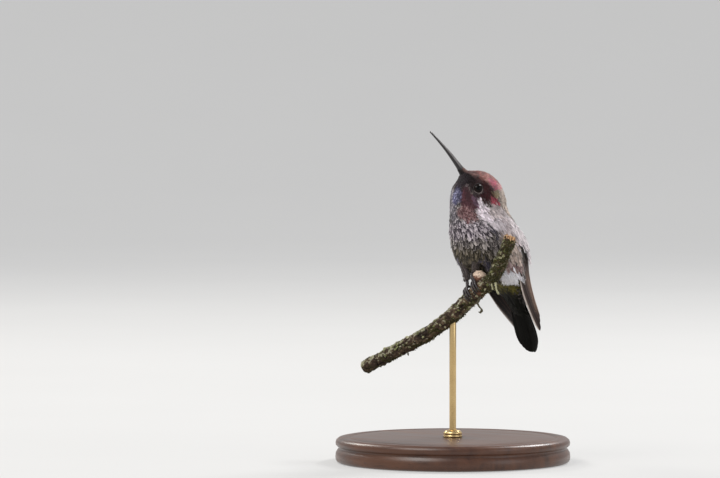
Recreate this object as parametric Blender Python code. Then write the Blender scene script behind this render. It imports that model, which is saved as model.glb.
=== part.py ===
"""A male Anna's hummingbird at life size, perched on a cut length of branch that a plain stand holds up.

Metres, +Z up, the body facing -Y with its left side at +X. The origin is the centre of the stand's foot.
Lengths below are in millimetres and become metres where a mesh is made. Points of the bird and the
branch are given from the grip, the spot on the branch under the feet. The head and neck are drawn
facing forward, and each section then takes its share of the head's turn.
"""

import math

import bmesh
import bpy
import numpy as np
from mathutils import Vector
from mathutils.bvhtree import BVHTree

MM = 0.001
GAP = 0.3

# The stand, and the place of the grip above the centre of its foot.
BASE_RADIUS = 42.0
BASE_HEIGHT = 9.0
BASE_EDGE = 1.0
BASE_BORE = 5.0
ROD_RADIUS = 1.2
COLLAR_RADIUS = 3.4
COLLAR_HEIGHT = 2.6
COLLAR_EDGE = 0.8
COLLAR_LIFT = 0.05
GRIP = np.array([8.0, 4.3, 64.0])

# The bill: (y, z) of its base, how it points, and its half height and width from base to tip.
BILL_LENGTH = 18.0
BILL_BASE = (-5.6, 39.7)
BILL_RAISED = math.radians(50.0)
BILL_HALF_HEIGHT = (1.12, 0.28)
BILL_HALF_WIDTH = (1.4, 0.3)
BILL_TAPER = 1.3
BILL_ARCH = 0.4

# The head's turn to the bird's right, and the eyes: (y, z) on the head, and how far they bulge.
HEAD_TURN = math.radians(36.0)
NECK_Y = 0.5
EYE_PLACE = (-1.7, 34.25)
EYE_SIDE = 9.0
EYE_RADIUS = 2.0
EYE_BULGE = 0.75

# The body's sections from the bill back to the tail: (y, z) of the back line, (y, z) of the belly
# line, half of the width, and the share of the head's turn that the section takes.
SECTIONS = [
    (-4.9, 40.6, -6.6, 38.8, 1.7, 1.0),
    (-2.5, 40.7, -7.3, 36.6, 3.4, 1.0),
    (0.9, 40.2, -9.1, 33.9, 5.3, 1.0),
    (4.2, 38.9, -9.9, 31.0, 6.5, 1.0),
    (7.0, 36.7, -10.1, 28.4, 7.1, 1.0),
    (9.1, 33.6, -10.1, 26.2, 7.5, 0.95),
    (10.4, 30.0, -10.2, 24.0, 8.1, 0.78),
    (11.5, 26.4, -10.4, 21.6, 9.2, 0.45),
    (13.8, 22.8, -10.2, 18.4, 10.7, 0.15),
    (16.9, 19.2, -9.2, 14.6, 11.8, 0.0),
    (19.4, 15.2, -7.6, 10.5, 12.3, 0.0),
    (21.2, 10.8, -5.2, 6.7, 12.1, 0.0),
    (22.3, 6.4, -1.6, 3.2, 11.2, 0.0),
    (22.9, 2.2, 4.0, 0.1, 9.4, 0.0),
    (23.4, -1.6, 11.0, -2.4, 6.9, 0.0),
    (24.2, -5.2, 17.2, -6.0, 4.6, 0.0),
    (25.2, -9.2, 21.2, -10.6, 3.2, 0.0),
]
SECTION_SIDES = 28
SECTION_POWER = 2.15

# Where each piece of the body starts and ends, counted in sections, and its rings.
HEAD_ENDS, HEAD_STEPS = (0.0, 5.4), 14
NECK_ENDS, NECK_STEPS = (5.4, 7.6), 5
TRUNK_ENDS, TRUNK_STEPS = (7.6, 16.0), 19
CUT_SHARE = 0.055

# The shallow beds that the folded wings lie in: depth, sections, degrees round from the back.
BED_DEPTH = 1.5
BED_ENDS, BED_RAMP = (6.9, 14.2), 1.6
BED_BACK, BED_BACK_RAMP = 14.0, 16.0
BED_FLANK, BED_FLANK_RAMP = 104.0, 12.0

# The hollow that the belly makes over the feet.
HOLLOW_PLACE = (2.6, -3.8, 2.6)
HOLLOW_RADII = (5.4, 3.2, 4.8)

# A folded wing, from the wrist to the tip: (x, y, z) of its leading and its trailing edge.
WING_LEADING = [
    (9.4, 1.4, 19.0),
    (11.4, 3.4, 14.2),
    (11.4, 7.6, 6.8),
    (9.6, 12.6, -0.8),
    (7.6, 19.0, -8.2),
    (5.6, 25.4, -14.0),
    (4.6, 28.0, -16.6),
]
WING_TRAILING = [
    (7.4, 9.0, 20.8),
    (8.2, 14.0, 16.8),
    (7.7, 18.4, 9.2),
    (6.7, 20.6, 1.6),
    (6.0, 25.2, -7.0),
    (4.9, 27.8, -13.8),
    (4.3, 28.6, -16.8),
]
WING_CROWN = 0.9
WING_THICK = (1.3, 0.7)
WING_EDGE = 0.75
WING_ROOT, WING_ROOT_END = 0.5, 0.15
WING_ROWS, WING_COLUMNS = 22, 6
WING_OUT = (1.0, 0.5, 0.2)

# The closed tail: centre line in (y, z), half width, fold of its sides, and its feather ridges.
TAIL_LINE = [(24.9, -10.2), (26.6, -14.0), (28.1, -17.8), (29.5, -21.7), (30.6, -25.7)]
TAIL_HALF_WIDTH = (3.4, 4.4)
TAIL_TAPER = 0.3
TAIL_FOLD, TAIL_FOLD_RISE = 1.1, 0.35
TAIL_THICK = 0.9
TAIL_LOBES = 5
TAIL_LOBE_SHARE = 0.02
TAIL_RIDGE = 0.12
TAIL_ROUNDING = 0.19
TAIL_ROWS, TAIL_COLUMNS = 6, 30

# The perch: (x, y, z) of its line, the share of it where the spur begins, its radii from start
# to end of each length, and the swollen knot by the left foot.
PERCH_LINE = [
    (-47.7, -5.4, -31.7),
    (-35.8, -5.2, -26.3),
    (-22.8, -4.9, -20.3),
    (-9.75, -4.4, -13.0),
    (-0.35, -4.0, -5.2),
    (5.3, -3.8, -0.9),
    (9.0, -3.7, 1.4),
    (12.0, -3.7, 5.7),
    (15.2, -3.8, 11.4),
    (17.6, -3.8, 17.1),
]
SPUR_START = 0.62
SPUR_GAP = 0.006
BRANCH_RADII, BRANCH_STEPS = (2.5, 3.05), 28
SPUR_RADII, SPUR_STEPS = (2.5, 2.15), 10
PERCH_SIDES = 14
PERCH_WOBBLE, PERCH_WAVES = 0.05, 3.5
KNOT_PLACE = (3.9, -4.0, 2.0)
KNOT_RADII = (2.7, 2.3, 2.3)

# The feet: x of each on the perch, the spread of the toes along it, how far round they reach
# from its top, their radius from root to claw, and the legs above them.
FOOT_X = {"left": 4.3, "right": 0.9}
SOLE_RADIUS = 0.65
TOE_SPREAD, HIND_SPREAD = 1.0, 0.2
FRONT_REACH, HIND_REACH = math.radians(98.0), math.radians(-92.0)
TOE_RADII = (0.46, 0.26)
TOE_LIFT = 0.22
LEG_LEAN = (0.35, 0.5)
LEG_RADII = (1.5, 0.55)
LEG_WAIST = 0.3


def mix(pair, share):
    return pair[0] + (pair[1] - pair[0]) * share


def ramp(value):
    return min(max(value, 0.0), 1.0)


def spline(points, share):
    """The point at share 0 to 1 along a smooth curve through evenly counted points."""
    points = np.asarray(points, float)
    at = ramp(share) * (len(points) - 1)
    i = min(int(at), len(points) - 2)
    f = at - i
    before, a, b = points[max(i - 1, 0)], points[i], points[i + 1]
    after = points[min(i + 2, len(points) - 1)]
    bend = 2 * before - 5 * a + 4 * b - after
    return 0.5 * (2 * a + (b - before) * f + bend * f**2 + (3 * a - before - 3 * b + after) * f**3)


def turned(point, turn):
    """A point turned to the bird's right about the upright line through its neck."""
    x, y, z = point
    c, s = math.cos(turn), math.sin(turn)
    return np.array([x * c + (y - NECK_Y) * s, NECK_Y - x * s + (y - NECK_Y) * c, z])


def squared(value):
    """A cosine or sine pulled out to the section's slightly squared shape."""
    return math.copysign(abs(value) ** (2 / SECTION_POWER), value)


def bed_depth(station, angle):
    """How far the body gives way at a place, so that the folded wing lies nearly flush."""
    from_back = math.degrees(min(angle, 2 * math.pi - angle))
    along = ramp((station - BED_ENDS[0]) / BED_RAMP) * ramp((BED_ENDS[1] - station) / BED_RAMP)
    across = ramp((from_back - BED_BACK) / BED_BACK_RAMP) * ramp((BED_FLANK - from_back) / BED_FLANK_RAMP)
    return BED_DEPTH * along * across


def section(station):
    """The ring of body points at a station, counted in sections from the bill."""
    back_y, back_z, belly_y, belly_z, half_width, turn = spline(SECTIONS, station / (len(SECTIONS) - 1))
    back, belly = np.array([0, back_y, back_z]), np.array([0, belly_y, belly_z])
    middle = (back + belly) / 2
    ring = []
    for k in range(SECTION_SIDES):
        angle = 2 * math.pi * k / SECTION_SIDES
        out = (back - middle) * squared(math.cos(angle))
        out[0] = half_width * squared(math.sin(angle))
        point = middle + out * (1 - bed_depth(station, angle) / np.linalg.norm(out))
        ring.append(turned(point, turn * HEAD_TURN))
    return ring


def material(name, colour, roughness, metallic=0.0):
    made = bpy.data.materials.new(name)
    made.use_nodes = True
    shader = made.node_tree.nodes["Principled BSDF"]
    shader.inputs["Base Color"].default_value = (*colour, 1.0)
    shader.inputs["Roughness"].default_value = roughness
    shader.inputs["Metallic"].default_value = metallic
    return made


def add(name, bm, finish, shift=GRIP):
    """One named object from a bmesh in millimetres, shaded smooth except at its sharp edges."""
    bmesh.ops.recalc_face_normals(bm, faces=bm.faces)
    for vert in bm.verts:
        vert.co = (vert.co + Vector(shift)) * MM
    mesh = bpy.data.meshes.new(name)
    bm.to_mesh(mesh)
    bm.free()
    mesh.shade_smooth()
    mesh.set_sharp_from_angle(angle=math.radians(50))
    mesh.materials.append(finish)
    made = bpy.data.objects.new(name, mesh)
    bpy.context.scene.collection.objects.link(made)
    return made


def helper(obj):
    obj.hide_render = True
    obj.display_type = "WIRE"
    return obj


def boolean(obj, other, operation):
    cut = obj.modifiers.new(operation.lower() + "_" + other.name, "BOOLEAN")
    cut.operation = operation
    cut.object = other


def rings_closed(rings):
    """A closed skin over equal rings, with a flat fan on each end."""
    bm = bmesh.new()
    made = [[bm.verts.new(point) for point in ring] for ring in rings]
    sides = len(made[0])
    for a, b in zip(made, made[1:]):
        for k in range(sides):
            bm.faces.new((a[k], a[(k + 1) % sides], b[(k + 1) % sides], b[k]))
    for ring in (made[0], made[-1]):
        centre = bm.verts.new(sum((v.co for v in ring), Vector()) / sides)
        for k in range(sides):
            bm.faces.new((ring[k], ring[(k + 1) % sides], centre))
    return bm


def sheets_closed(under, over):
    """A closed plate between two equal grids of points."""
    bm = bmesh.new()
    grids = [[[bm.verts.new(point) for point in row] for row in sheet] for sheet in (under, over)]
    for grid in grids:
        for a, b in zip(grid, grid[1:]):
            for k in range(len(a) - 1):
                bm.faces.new((a[k], a[k + 1], b[k + 1], b[k]))
    low, high = grids
    borders = [(low[i], high[i]) for i in (0, -1)]
    borders += [([row[k] for row in low], [row[k] for row in high]) for k in (0, -1)]
    for a, b in borders:
        for k in range(len(a) - 1):
            bm.faces.new((a[k], a[k + 1], b[k + 1], b[k]))
    return bm


def tube(line, radii, sides, steps, ends=(0.0, 1.0), wobble=0.0):
    """A round tube along a smooth line, its radius going from one value to the other."""
    rings = []
    for i in range(steps + 1):
        share = mix(ends, i / steps)
        here = Vector(spline(line, share))
        ahead = Vector(spline(line, share + 0.01) - spline(line, share - 0.01)).normalized()
        side = ahead.cross(Vector((0.0, 0.3, 1.0))).normalized()
        up = side.cross(ahead)
        ring = []
        for k in range(sides):
            angle = 2 * math.pi * k / sides
            wave = math.sin(2 * math.pi * PERCH_WAVES * share + 2 * angle)
            radius = mix(radii, i / steps) * (1 + wobble * wave)
            ring.append(here + side * radius * math.cos(angle) + up * radius * math.sin(angle))
        rings.append(ring)
    return rings_closed(rings)


def ball(name, place, radii, finish, rings=8):
    bm = bmesh.new()
    bmesh.ops.create_uvsphere(bm, u_segments=2 * rings, v_segments=rings, radius=1.0)
    for vert in bm.verts:
        vert.co = Vector(place) + Vector(radii[k] * vert.co[k] for k in range(3))
    return add(name, bm, finish)


def cylinder(name, low, high, radius, sides, finish):
    """An upright cylinder on the stand's own axis."""
    bm = bmesh.new()
    bmesh.ops.create_cone(bm, cap_ends=True, segments=sides, radius1=radius, radius2=radius, depth=high - low)
    bmesh.ops.translate(bm, verts=bm.verts, vec=(0, 0, (low + high) / 2))
    return add(name, bm, finish, (0, 0, 0))


def turned_ring(name, profile, sides, finish):
    """A turned ring on the stand's own axis, from a closed outline of (radius, height)."""
    bm = bmesh.new()
    rings = []
    for radius, height in profile:
        turns = [2 * math.pi * k / sides for k in range(sides)]
        rings.append([bm.verts.new((radius * math.cos(a), radius * math.sin(a), height)) for a in turns])
    for a, b in zip(rings, rings[1:] + rings[:1]):
        for k in range(sides):
            bm.faces.new((a[k], a[(k + 1) % sides], b[(k + 1) % sides], b[k]))
    return add(name, bm, finish, (0, 0, 0))


def surface_tree(*pieces):
    """A search tree over pieces as they stand after their cuts, in millimetres from the grip."""
    graph = bpy.context.evaluated_depsgraph_get()
    points, faces = [], []
    for piece in pieces:
        start = len(points)
        shape = piece.evaluated_get(graph).to_mesh()
        points += [Vector(v.co) / MM - Vector(GRIP) for v in shape.vertices]
        faces += [[start + i for i in p.vertices] for p in shape.polygons]
    return BVHTree.FromPolygons(points, faces)


def body_piece(name, ends, steps, finish):
    """One length of the body, cut back a little where another length follows."""
    low = ends[0] + (CUT_SHARE if ends[0] > 0 else 0)
    high = ends[1] - (CUT_SHARE if ends[1] < len(SECTIONS) - 1 else 0)
    return add(name, rings_closed([section(mix((low, high), i / steps)) for i in range(steps + 1)]), finish)


def bill(finish, steps=12, sides=12):
    """A slim tapering bill, a little arched, its base just clear of the head's front face."""
    direction = np.array([0, -math.cos(BILL_RAISED), math.sin(BILL_RAISED)])
    up = np.array([0, math.sin(BILL_RAISED), math.cos(BILL_RAISED)])
    rings = []
    for i in range(steps + 1):
        share = i / steps
        taper = 1 - (1 - share) ** BILL_TAPER
        middle = np.array([0, *BILL_BASE]) + direction * (2 * GAP + BILL_LENGTH * share)
        middle = middle + up * BILL_ARCH * math.sin(math.pi * share)
        ring = []
        for k in range(sides):
            angle = 2 * math.pi * k / sides
            point = middle + up * mix(BILL_HALF_HEIGHT, taper) * math.cos(angle)
            point[0] = mix(BILL_HALF_WIDTH, taper) * math.sin(angle)
            ring.append(turned(point, HEAD_TURN))
        rings.append(ring)
    add("bill", rings_closed(rings), finish)


def eye(side, sign, head, skin, finish):
    """A ball sunk in the head so that only its cap stands out, in a socket cut with clearance."""
    place, _, _, _ = skin.find_nearest(Vector(turned((sign * EYE_SIDE, *EYE_PLACE), HEAD_TURN)))
    _, normal, _, _ = skin.find_nearest(place)
    centre = place - normal * (EYE_RADIUS - EYE_BULGE)
    boolean(head, helper(ball("socket_" + side, centre, (EYE_RADIUS + GAP,) * 3, finish)), "DIFFERENCE")
    ball("eye_" + side, centre, (EYE_RADIUS,) * 3, finish)


def wing(side, sign, skin, finish):
    """A folded wing: a long blade that lies along the body's side and stands free past the rump."""
    under, over = [], []
    for i in range(WING_ROWS + 1):
        share = i / WING_ROWS
        leading, trailing = spline(WING_LEADING, share), spline(WING_TRAILING, share)
        root = mix((WING_ROOT, 1.0), ramp(share / WING_ROOT_END))
        low, high = [], []
        for k in range(WING_COLUMNS + 1):
            across = k / WING_COLUMNS
            crown = math.sin(math.pi * across)
            point = Vector(mix((leading, trailing), across))
            point.x = sign * (point.x + WING_CROWN * crown * (1 - share))
            found, normal, _, _ = skin.find_nearest(point)
            short = GAP - (point - found).dot(normal)
            outward = normal if short > 0 else Vector((sign * WING_OUT[0], *WING_OUT[1:])).normalized()
            point += outward * max(short, 0.0)
            low.append(point)
            high.append(point + outward * mix(WING_THICK, share) * mix((WING_EDGE, 1.0), crown) * root)
        under.append(low)
        over.append(high)
    add("wing_" + side, sheets_closed(under, over), finish)


def tail(finish):
    """The closed tail, a shallow roof of overlapping feathers with a lobed, rounded end."""
    back, front = [], []
    for i in range(TAIL_ROWS + 1):
        upper, lower = [], []
        for k in range(TAIL_COLUMNS + 1):
            across = 2 * k / TAIL_COLUMNS - 1
            lobe = abs(math.sin(math.pi * TAIL_LOBES * across))
            end = 1 - TAIL_ROUNDING * abs(across) ** 2.4 - TAIL_LOBE_SHARE * (1 - lobe)
            share = i / TAIL_ROWS * end
            y, z = spline(TAIL_LINE, share)
            half_width = mix(TAIL_HALF_WIDTH, math.sin(share * math.pi / 2)) * (1 - TAIL_TAPER * share**5)
            fold = TAIL_FOLD * abs(across) ** 1.5
            height = z - TAIL_FOLD_RISE * fold
            upper.append(Vector((half_width * across, y - fold + TAIL_RIDGE * lobe, height)))
            thick = TAIL_THICK * (1 - abs(across) / 4) + 2 * TAIL_RIDGE * lobe
            lower.append(upper[-1] - Vector((0, thick, 0)))
        back.append(upper)
        front.append(lower)
    add("tail", sheets_closed(back, front), finish)


def perch(bark):
    """The cut branch with its swollen knot, and the spur that rises from its end."""
    ends = ((0.0, SPUR_START - SPUR_GAP), (SPUR_START + SPUR_GAP, 1.0))
    branch = tube(PERCH_LINE, BRANCH_RADII, PERCH_SIDES, BRANCH_STEPS, ends[0], PERCH_WOBBLE)
    spur = tube(PERCH_LINE, SPUR_RADII, PERCH_SIDES, SPUR_STEPS, ends[1], PERCH_WOBBLE)
    branch = add("perch_branch", branch, bark)
    boolean(branch, helper(ball("knot", KNOT_PLACE, KNOT_RADII, bark)), "UNION")
    add("perch_spur", spur, bark)
    return branch


def perch_frame(x):
    """The perch's centre at an x, the way it runs there, its back and its up."""
    low, high = 0.0, 1.0
    for _ in range(40):
        share = (low + high) / 2
        low, high = (share, high) if spline(PERCH_LINE, share)[0] < x else (low, share)
    along = Vector(spline(PERCH_LINE, low + 0.01) - spline(PERCH_LINE, low - 0.01)).normalized()
    up = (Vector((0, 0, 1)) - along * along.z).normalized()
    return Vector(spline(PERCH_LINE, low)), along, up.cross(along), up


def on_perch(frame, wood, offset, angle, clear):
    """The place that stands clear of the wood at an angle from its top, reached from outside."""
    centre, along, back, up = frame
    out = up * math.cos(angle) - back * math.sin(angle)
    found, _, _, _ = wood.ray_cast(centre + along * offset + out * 4 * BRANCH_RADII[1], -out)
    return found + out * clear


def toe(name, frame, wood, spread, reach, finish, steps=8):
    line = []
    for i in range(steps + 1):
        share = i / steps
        offset = spread * min(1.0, 0.35 + 1.6 * share)
        line.append(on_perch(frame, wood, offset, reach * share, GAP + TOE_LIFT + mix(TOE_RADII, share)))
    return helper(add(name, tube(line, TOE_RADII, 7, steps + 1), finish))


def foot(side, wood, finish):
    """Three toes over the front of the perch and one behind it, joined at a small sole."""
    frame = perch_frame(FOOT_X[side])
    place = on_perch(frame, wood, 0.0, 0.0, GAP + TOE_LIFT + SOLE_RADIUS)
    made = ball("foot_" + side, place, (SOLE_RADIUS,) * 3, finish, rings=6)
    toes = [(k * TOE_SPREAD, FRONT_REACH) for k in (-1, 0, 1)] + [(HIND_SPREAD, HIND_REACH)]
    for k, (spread, reach) in enumerate(toes):
        boolean(made, toe(f"toe_{side}_{k}", frame, wood, spread, reach, finish), "UNION")
    return place


def leg(side, sign, sole, belly, finish, steps=5, sides=10):
    """A short feathered leg from just under the belly to just above the foot."""
    ahead = Vector((LEG_LEAN[0] * sign, LEG_LEAN[1], 1.0)).normalized()
    right = ahead.cross(Vector((0, 1, 0))).normalized()
    front = right.cross(ahead)
    low_end = sole + ahead * (SOLE_RADIUS + GAP)
    rings = [[] for _ in range(steps + 1)]
    for k in range(sides):
        angle = 2 * math.pi * k / sides
        out = right * math.cos(angle) + front * math.sin(angle)
        found, _, _, _ = belly.ray_cast(low_end + out * LEG_RADII[0], ahead)
        for i, ring in enumerate(rings):
            share = i / steps
            point = (found - ahead * GAP).lerp(low_end + out * LEG_RADII[1], share)
            ring.append(point - out * LEG_WAIST * math.sin(math.pi * share))
    add("leg_" + side, rings_closed(rings), finish)


def stand(branch, wood, metal):
    """A turned foot, a thin rod that enters a bore under the branch, and the rod's collar."""
    hole = ROD_RADIUS + GAP
    base = cylinder("stand_base", 0.0, BASE_HEIGHT, BASE_RADIUS, 48, wood)
    edge = base.modifiers.new("edge", "BEVEL")
    edge.width = BASE_EDGE * MM
    edge.segments = 2
    edge.limit_method = "ANGLE"
    rod_low = BASE_HEIGHT - BASE_BORE
    rod_high = GRIP[2] + perch_frame(-GRIP[0])[0].z
    between = 2 * BASE_HEIGHT
    boolean(base, helper(cylinder("base_bore", rod_low, between, hole, 24, wood)), "DIFFERENCE")
    boolean(branch, helper(cylinder("perch_bore", between, rod_high, hole, 24, wood)), "DIFFERENCE")
    cylinder("stand_rod", rod_low + GAP, rod_high - GAP, ROD_RADIUS, 18, metal)
    low, high, out = BASE_HEIGHT + COLLAR_LIFT, BASE_HEIGHT + COLLAR_HEIGHT, COLLAR_RADIUS
    profile = [(hole, low), (out, low), (out, high - COLLAR_EDGE), (out - COLLAR_EDGE, high), (hole, high)]
    turned_ring("stand_collar", profile, 24, metal)


def main():
    for obj in list(bpy.data.objects):
        bpy.data.objects.remove(obj)
    plumage = material("plumage", (0.42, 0.38, 0.37), 0.85)
    flight = material("flight_feathers", (0.05, 0.045, 0.04), 0.6)
    horn = material("bill_horn", (0.03, 0.03, 0.035), 0.35)
    eyeball = material("eye_surface", (0.01, 0.008, 0.008), 0.08)
    scaled = material("foot_scales", (0.05, 0.045, 0.05), 0.6)
    bark = material("bark", (0.16, 0.12, 0.08), 0.9)
    wood = material("stand_wood", (0.09, 0.045, 0.02), 0.4)
    brass = material("stand_brass", (0.72, 0.53, 0.26), 0.3, 1.0)

    head = body_piece("head", HEAD_ENDS, HEAD_STEPS, plumage)
    neck = body_piece("neck", NECK_ENDS, NECK_STEPS, plumage)
    trunk = body_piece("trunk", TRUNK_ENDS, TRUNK_STEPS, plumage)
    boolean(trunk, helper(ball("foot_hollow", HOLLOW_PLACE, HOLLOW_RADII, plumage, rings=10)), "DIFFERENCE")
    bill(horn)
    skin = surface_tree(head, neck, trunk)
    for side, sign in (("left", 1), ("right", -1)):
        eye(side, sign, head, skin, eyeball)
        wing(side, sign, skin, flight)
    tail(flight)

    branch = perch(bark)
    grain, belly = surface_tree(branch), surface_tree(trunk)
    for side, sign in (("left", 1), ("right", -1)):
        leg(side, sign, foot(side, grain, scaled), belly, plumage)
    stand(branch, wood, brass)


main()
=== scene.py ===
import math

import bpy
import numpy as np
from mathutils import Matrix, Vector
from mathutils.bvhtree import BVHTree


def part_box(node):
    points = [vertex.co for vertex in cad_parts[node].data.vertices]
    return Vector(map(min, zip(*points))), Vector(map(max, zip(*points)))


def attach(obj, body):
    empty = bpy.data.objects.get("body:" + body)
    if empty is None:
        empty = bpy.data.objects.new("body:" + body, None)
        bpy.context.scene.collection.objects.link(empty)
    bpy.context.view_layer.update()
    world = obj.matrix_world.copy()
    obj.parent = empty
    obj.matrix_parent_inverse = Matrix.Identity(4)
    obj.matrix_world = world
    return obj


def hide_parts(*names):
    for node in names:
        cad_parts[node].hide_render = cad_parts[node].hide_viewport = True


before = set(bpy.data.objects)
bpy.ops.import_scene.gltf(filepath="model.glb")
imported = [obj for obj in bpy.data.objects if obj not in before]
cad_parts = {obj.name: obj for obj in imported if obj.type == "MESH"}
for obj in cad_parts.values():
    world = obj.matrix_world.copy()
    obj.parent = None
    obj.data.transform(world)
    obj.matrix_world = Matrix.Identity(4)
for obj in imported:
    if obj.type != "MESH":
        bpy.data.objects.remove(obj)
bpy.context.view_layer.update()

# The looks of a perched male hummingbird: skin, plumage, bill, eyes, feet, mossy perch and turned stand.
# Lengths are in millimetres from the grip, the spot on the perch under the feet. They become metres
# where a mesh is made. On the body a place is (station, angle): sections counted from the bill to the
# tail, and the way round from the middle of the back, past the bird's left side.

mm = 0.001
fullTurn = 2 * math.pi
rng = np.random.default_rng(41)
join = np.concatenate
gripPlace = np.array([8.0, 4.3, 64.0])


def tone(red, green, blue):
    # screen colour 0-255 to the renderer's linear colour
    share = np.array([red, green, blue], float) / 255
    return np.where(share <= 0.04045, share / 12.92, ((share + 0.055) / 1.055) ** 2.4)


def ramp(value, low=0.0, high=1.0):
    # soft step from 0 at low to 1 at high
    share = np.clip((np.asarray(value, float) - low) / (high - low), 0, 1)
    return share * share * (3 - 2 * share)


def unit(vectors):
    return vectors / np.maximum(np.linalg.norm(vectors, axis=-1, keepdims=True), 1e-9)


def along(rows, at):
    # smooth curve through evenly counted rows, read at many places 0 to len - 1
    rows = np.asarray(rows, float)
    at = np.clip(np.asarray(at, float), 0, len(rows) - 1)
    i = np.minimum(at.astype(int), len(rows) - 2)
    f = (at - i)[..., None]
    before, a, b = rows[np.maximum(i - 1, 0)], rows[i], rows[i + 1]
    after = rows[np.minimum(i + 2, len(rows) - 1)]
    bend = 2 * before - 5 * a + 4 * b - after
    return 0.5 * (2 * a + (b - before) * f + bend * f**2 + (3 * a - before - 3 * b + after) * f**3)


def ripple(points, size, seed, octaves=3, waves=7, finer=1.9, level=6.0):
    # smooth pseudo-noise from -1 to 1 at points, with lumps about size across
    draw = np.random.default_rng(seed)
    total = 0
    for octave in range(octaves):
        ways = unit(draw.normal(size=(waves, 3))) * fullTurn / size * finer**octave
        starts = draw.uniform(0, fullTurn, waves)
        total = total + np.sin(points @ ways.T + starts).sum(-1) / finer**octave
    return np.clip(total / level, -1, 1)


def band(value, rise, fall):
    # 0, then 1 between two soft edges, then 0 again
    return ramp(value, *rise) * (1 - ramp(value, *fall))


def mix(first, second, share):
    return first * (1 - share) + second * share


def makeObject(name, points, faceSets, material, colours=None, maps=None, rim=None):
    # one mesh object from arrays; points in mm from the grip
    mesh = bpy.data.meshes.new(name)
    faceSets = [np.asarray(f, np.int32) for f in faceSets if len(f)]
    corners = join([f.ravel() for f in faceSets])
    sizes = join([np.full(len(f), f.shape[1]) for f in faceSets])
    flat = points.reshape(-1, 3)
    mesh.vertices.add(len(flat))
    mesh.vertices.foreach_set("co", ((flat + gripPlace) * mm).astype(np.float32).ravel())
    mesh.loops.add(len(corners))
    mesh.loops.foreach_set("vertex_index", corners)
    mesh.polygons.add(len(sizes))
    starts = join([[0], np.cumsum(sizes)[:-1]]).astype(np.int32)
    mesh.polygons.foreach_set("loop_start", starts)
    mesh.update(calc_edges=True)
    mesh.shade_smooth()
    if rim is not None:
        ends = np.empty(len(mesh.edges) * 2, np.int32)
        mesh.edges.foreach_get("vertices", ends)
        sharp = mesh.attributes.new("sharp_edge", "BOOLEAN", "EDGE")
        sharp.data.foreach_set("value", rim[ends.reshape(-1, 2)].all(1))
    if colours is not None:
        shown = np.clip(np.broadcast_to(colours, points.shape).reshape(-1, 3), 0, 1)
        paint = mesh.attributes.new("plume", "FLOAT_COLOR", "POINT")
        paint.data.foreach_set("color", np.c_[shown, np.ones(len(flat))].astype(np.float32).ravel())
    for label, places in (maps or {}).items():
        layer = mesh.uv_layers.new(name=label)
        layer.data.foreach_set("uv", np.asarray(places, np.float32)[corners].ravel())
    made = bpy.data.objects.new(name, mesh)
    bpy.context.scene.collection.objects.link(made)
    mesh.materials.append(material)
    return made


def finishPiece(made, slot, *nodes):
    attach(made, "root")
    if nodes:
        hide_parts(*nodes)


def gridFaces(rows, columns):
    # quads between the rings of a tube
    i, j = np.meshgrid(np.arange(rows - 1), np.arange(columns), indexing="ij")
    i, j = i.ravel() * columns, j.ravel()
    k = (j + 1) % columns
    return np.stack([i + j, i + k, i + columns + k, i + columns + j], 1)


def hoopFaces(rows, columns):
    # quads of a tube whose last ring joins the first
    return gridFaces(rows + 1, columns) % (rows * columns)


def solidFaces(rows, columns):
    # quads of a closed tube, with a fan on the point added at each end (rows * columns, then + 1)
    ring = np.arange(columns)
    after = (ring + 1) % columns
    low, high = rows * columns, rows * columns + 1
    last = (rows - 1) * columns
    fans = join([
        np.stack([after, ring, np.full(columns, low)], 1),
        np.stack([ring + last, after + last, np.full(columns, high)], 1),
    ])
    return [gridFaces(rows, columns), fans]


def withEnds(rings):
    # the points of all the rings, then the middles of the first and the last
    return join([rings.reshape(-1, 3), [rings[0].mean(0), rings[-1].mean(0)]])


def repeated(faces, copies, size):
    # the same faces on each of many copies that lie one after another
    starts = (np.arange(copies) * size)[:, None, None]
    return (faces[None] + starts).reshape(-1, faces.shape[1])


def anglesOf(count):
    # evenly spaced round a circle
    return np.linspace(0, fullTurn, count, endpoint=False)


def framesAlong(points):
    # a right and an up for each point of a line, carried along it without twisting
    ahead = unit(np.gradient(points, axis=0))
    upright = abs(ahead[0][2]) >= 0.9
    right = [unit(np.cross(ahead[0], [0.0, 1.0, 0.0] if upright else [0.0, 0.0, 1.0]))]
    for way in ahead[1:]:
        carried = right[-1] - way * (right[-1] @ way)
        right.append(unit(carried))
    right = np.array(right)
    return right, np.cross(ahead, right)


def roundWay(right, up, angle):
    # the way out at each angle from a right towards an up
    return right * np.cos(angle)[..., None] + up * np.sin(angle)[..., None]


def tubePoints(line, radii, rows, sides, flatness=1.0, shape=None):
    # rings round a smooth line, then the two end points; shape(share, angle) scales each radius
    centre = along(line, np.linspace(0, len(line) - 1, rows))
    radius = along(np.asarray(radii, float)[:, None], np.linspace(0, len(radii) - 1, rows))[:, 0]
    right, up = framesAlong(centre)
    angle = anglesOf(sides)
    scale = radius[:, None] * np.ones(sides)
    if shape is not None:
        scale = scale * shape(np.linspace(0, 1, rows)[:, None], angle[None])
    ring = roundWay(right[:, None], up[:, None] * flatness, angle[None])
    points = centre[:, None] + ring * scale[..., None]
    return join([points.reshape(-1, 3), [centre[0], centre[-1]]])


def joinTubes(name, material, tubes):
    # one object from many tubes, each given by its points, rows, sides and colours
    start = 0
    faceSets = []
    for points, rows, sides, _ in tubes:
        faceSets.append([f + start for f in solidFaces(rows, sides)])
        start += len(points)
    points, colours = (join([tube[k] for tube in tubes]) for k in (0, 3))
    return makeObject(name, points, [join(f) for f in zip(*faceSets)], material, colours)


def nodePoints(name):
    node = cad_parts[name]
    points = np.empty(len(node.data.vertices) * 3)
    node.data.vertices.foreach_get("co", points)
    return points.reshape(-1, 3) / mm - gripPlace


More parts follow.
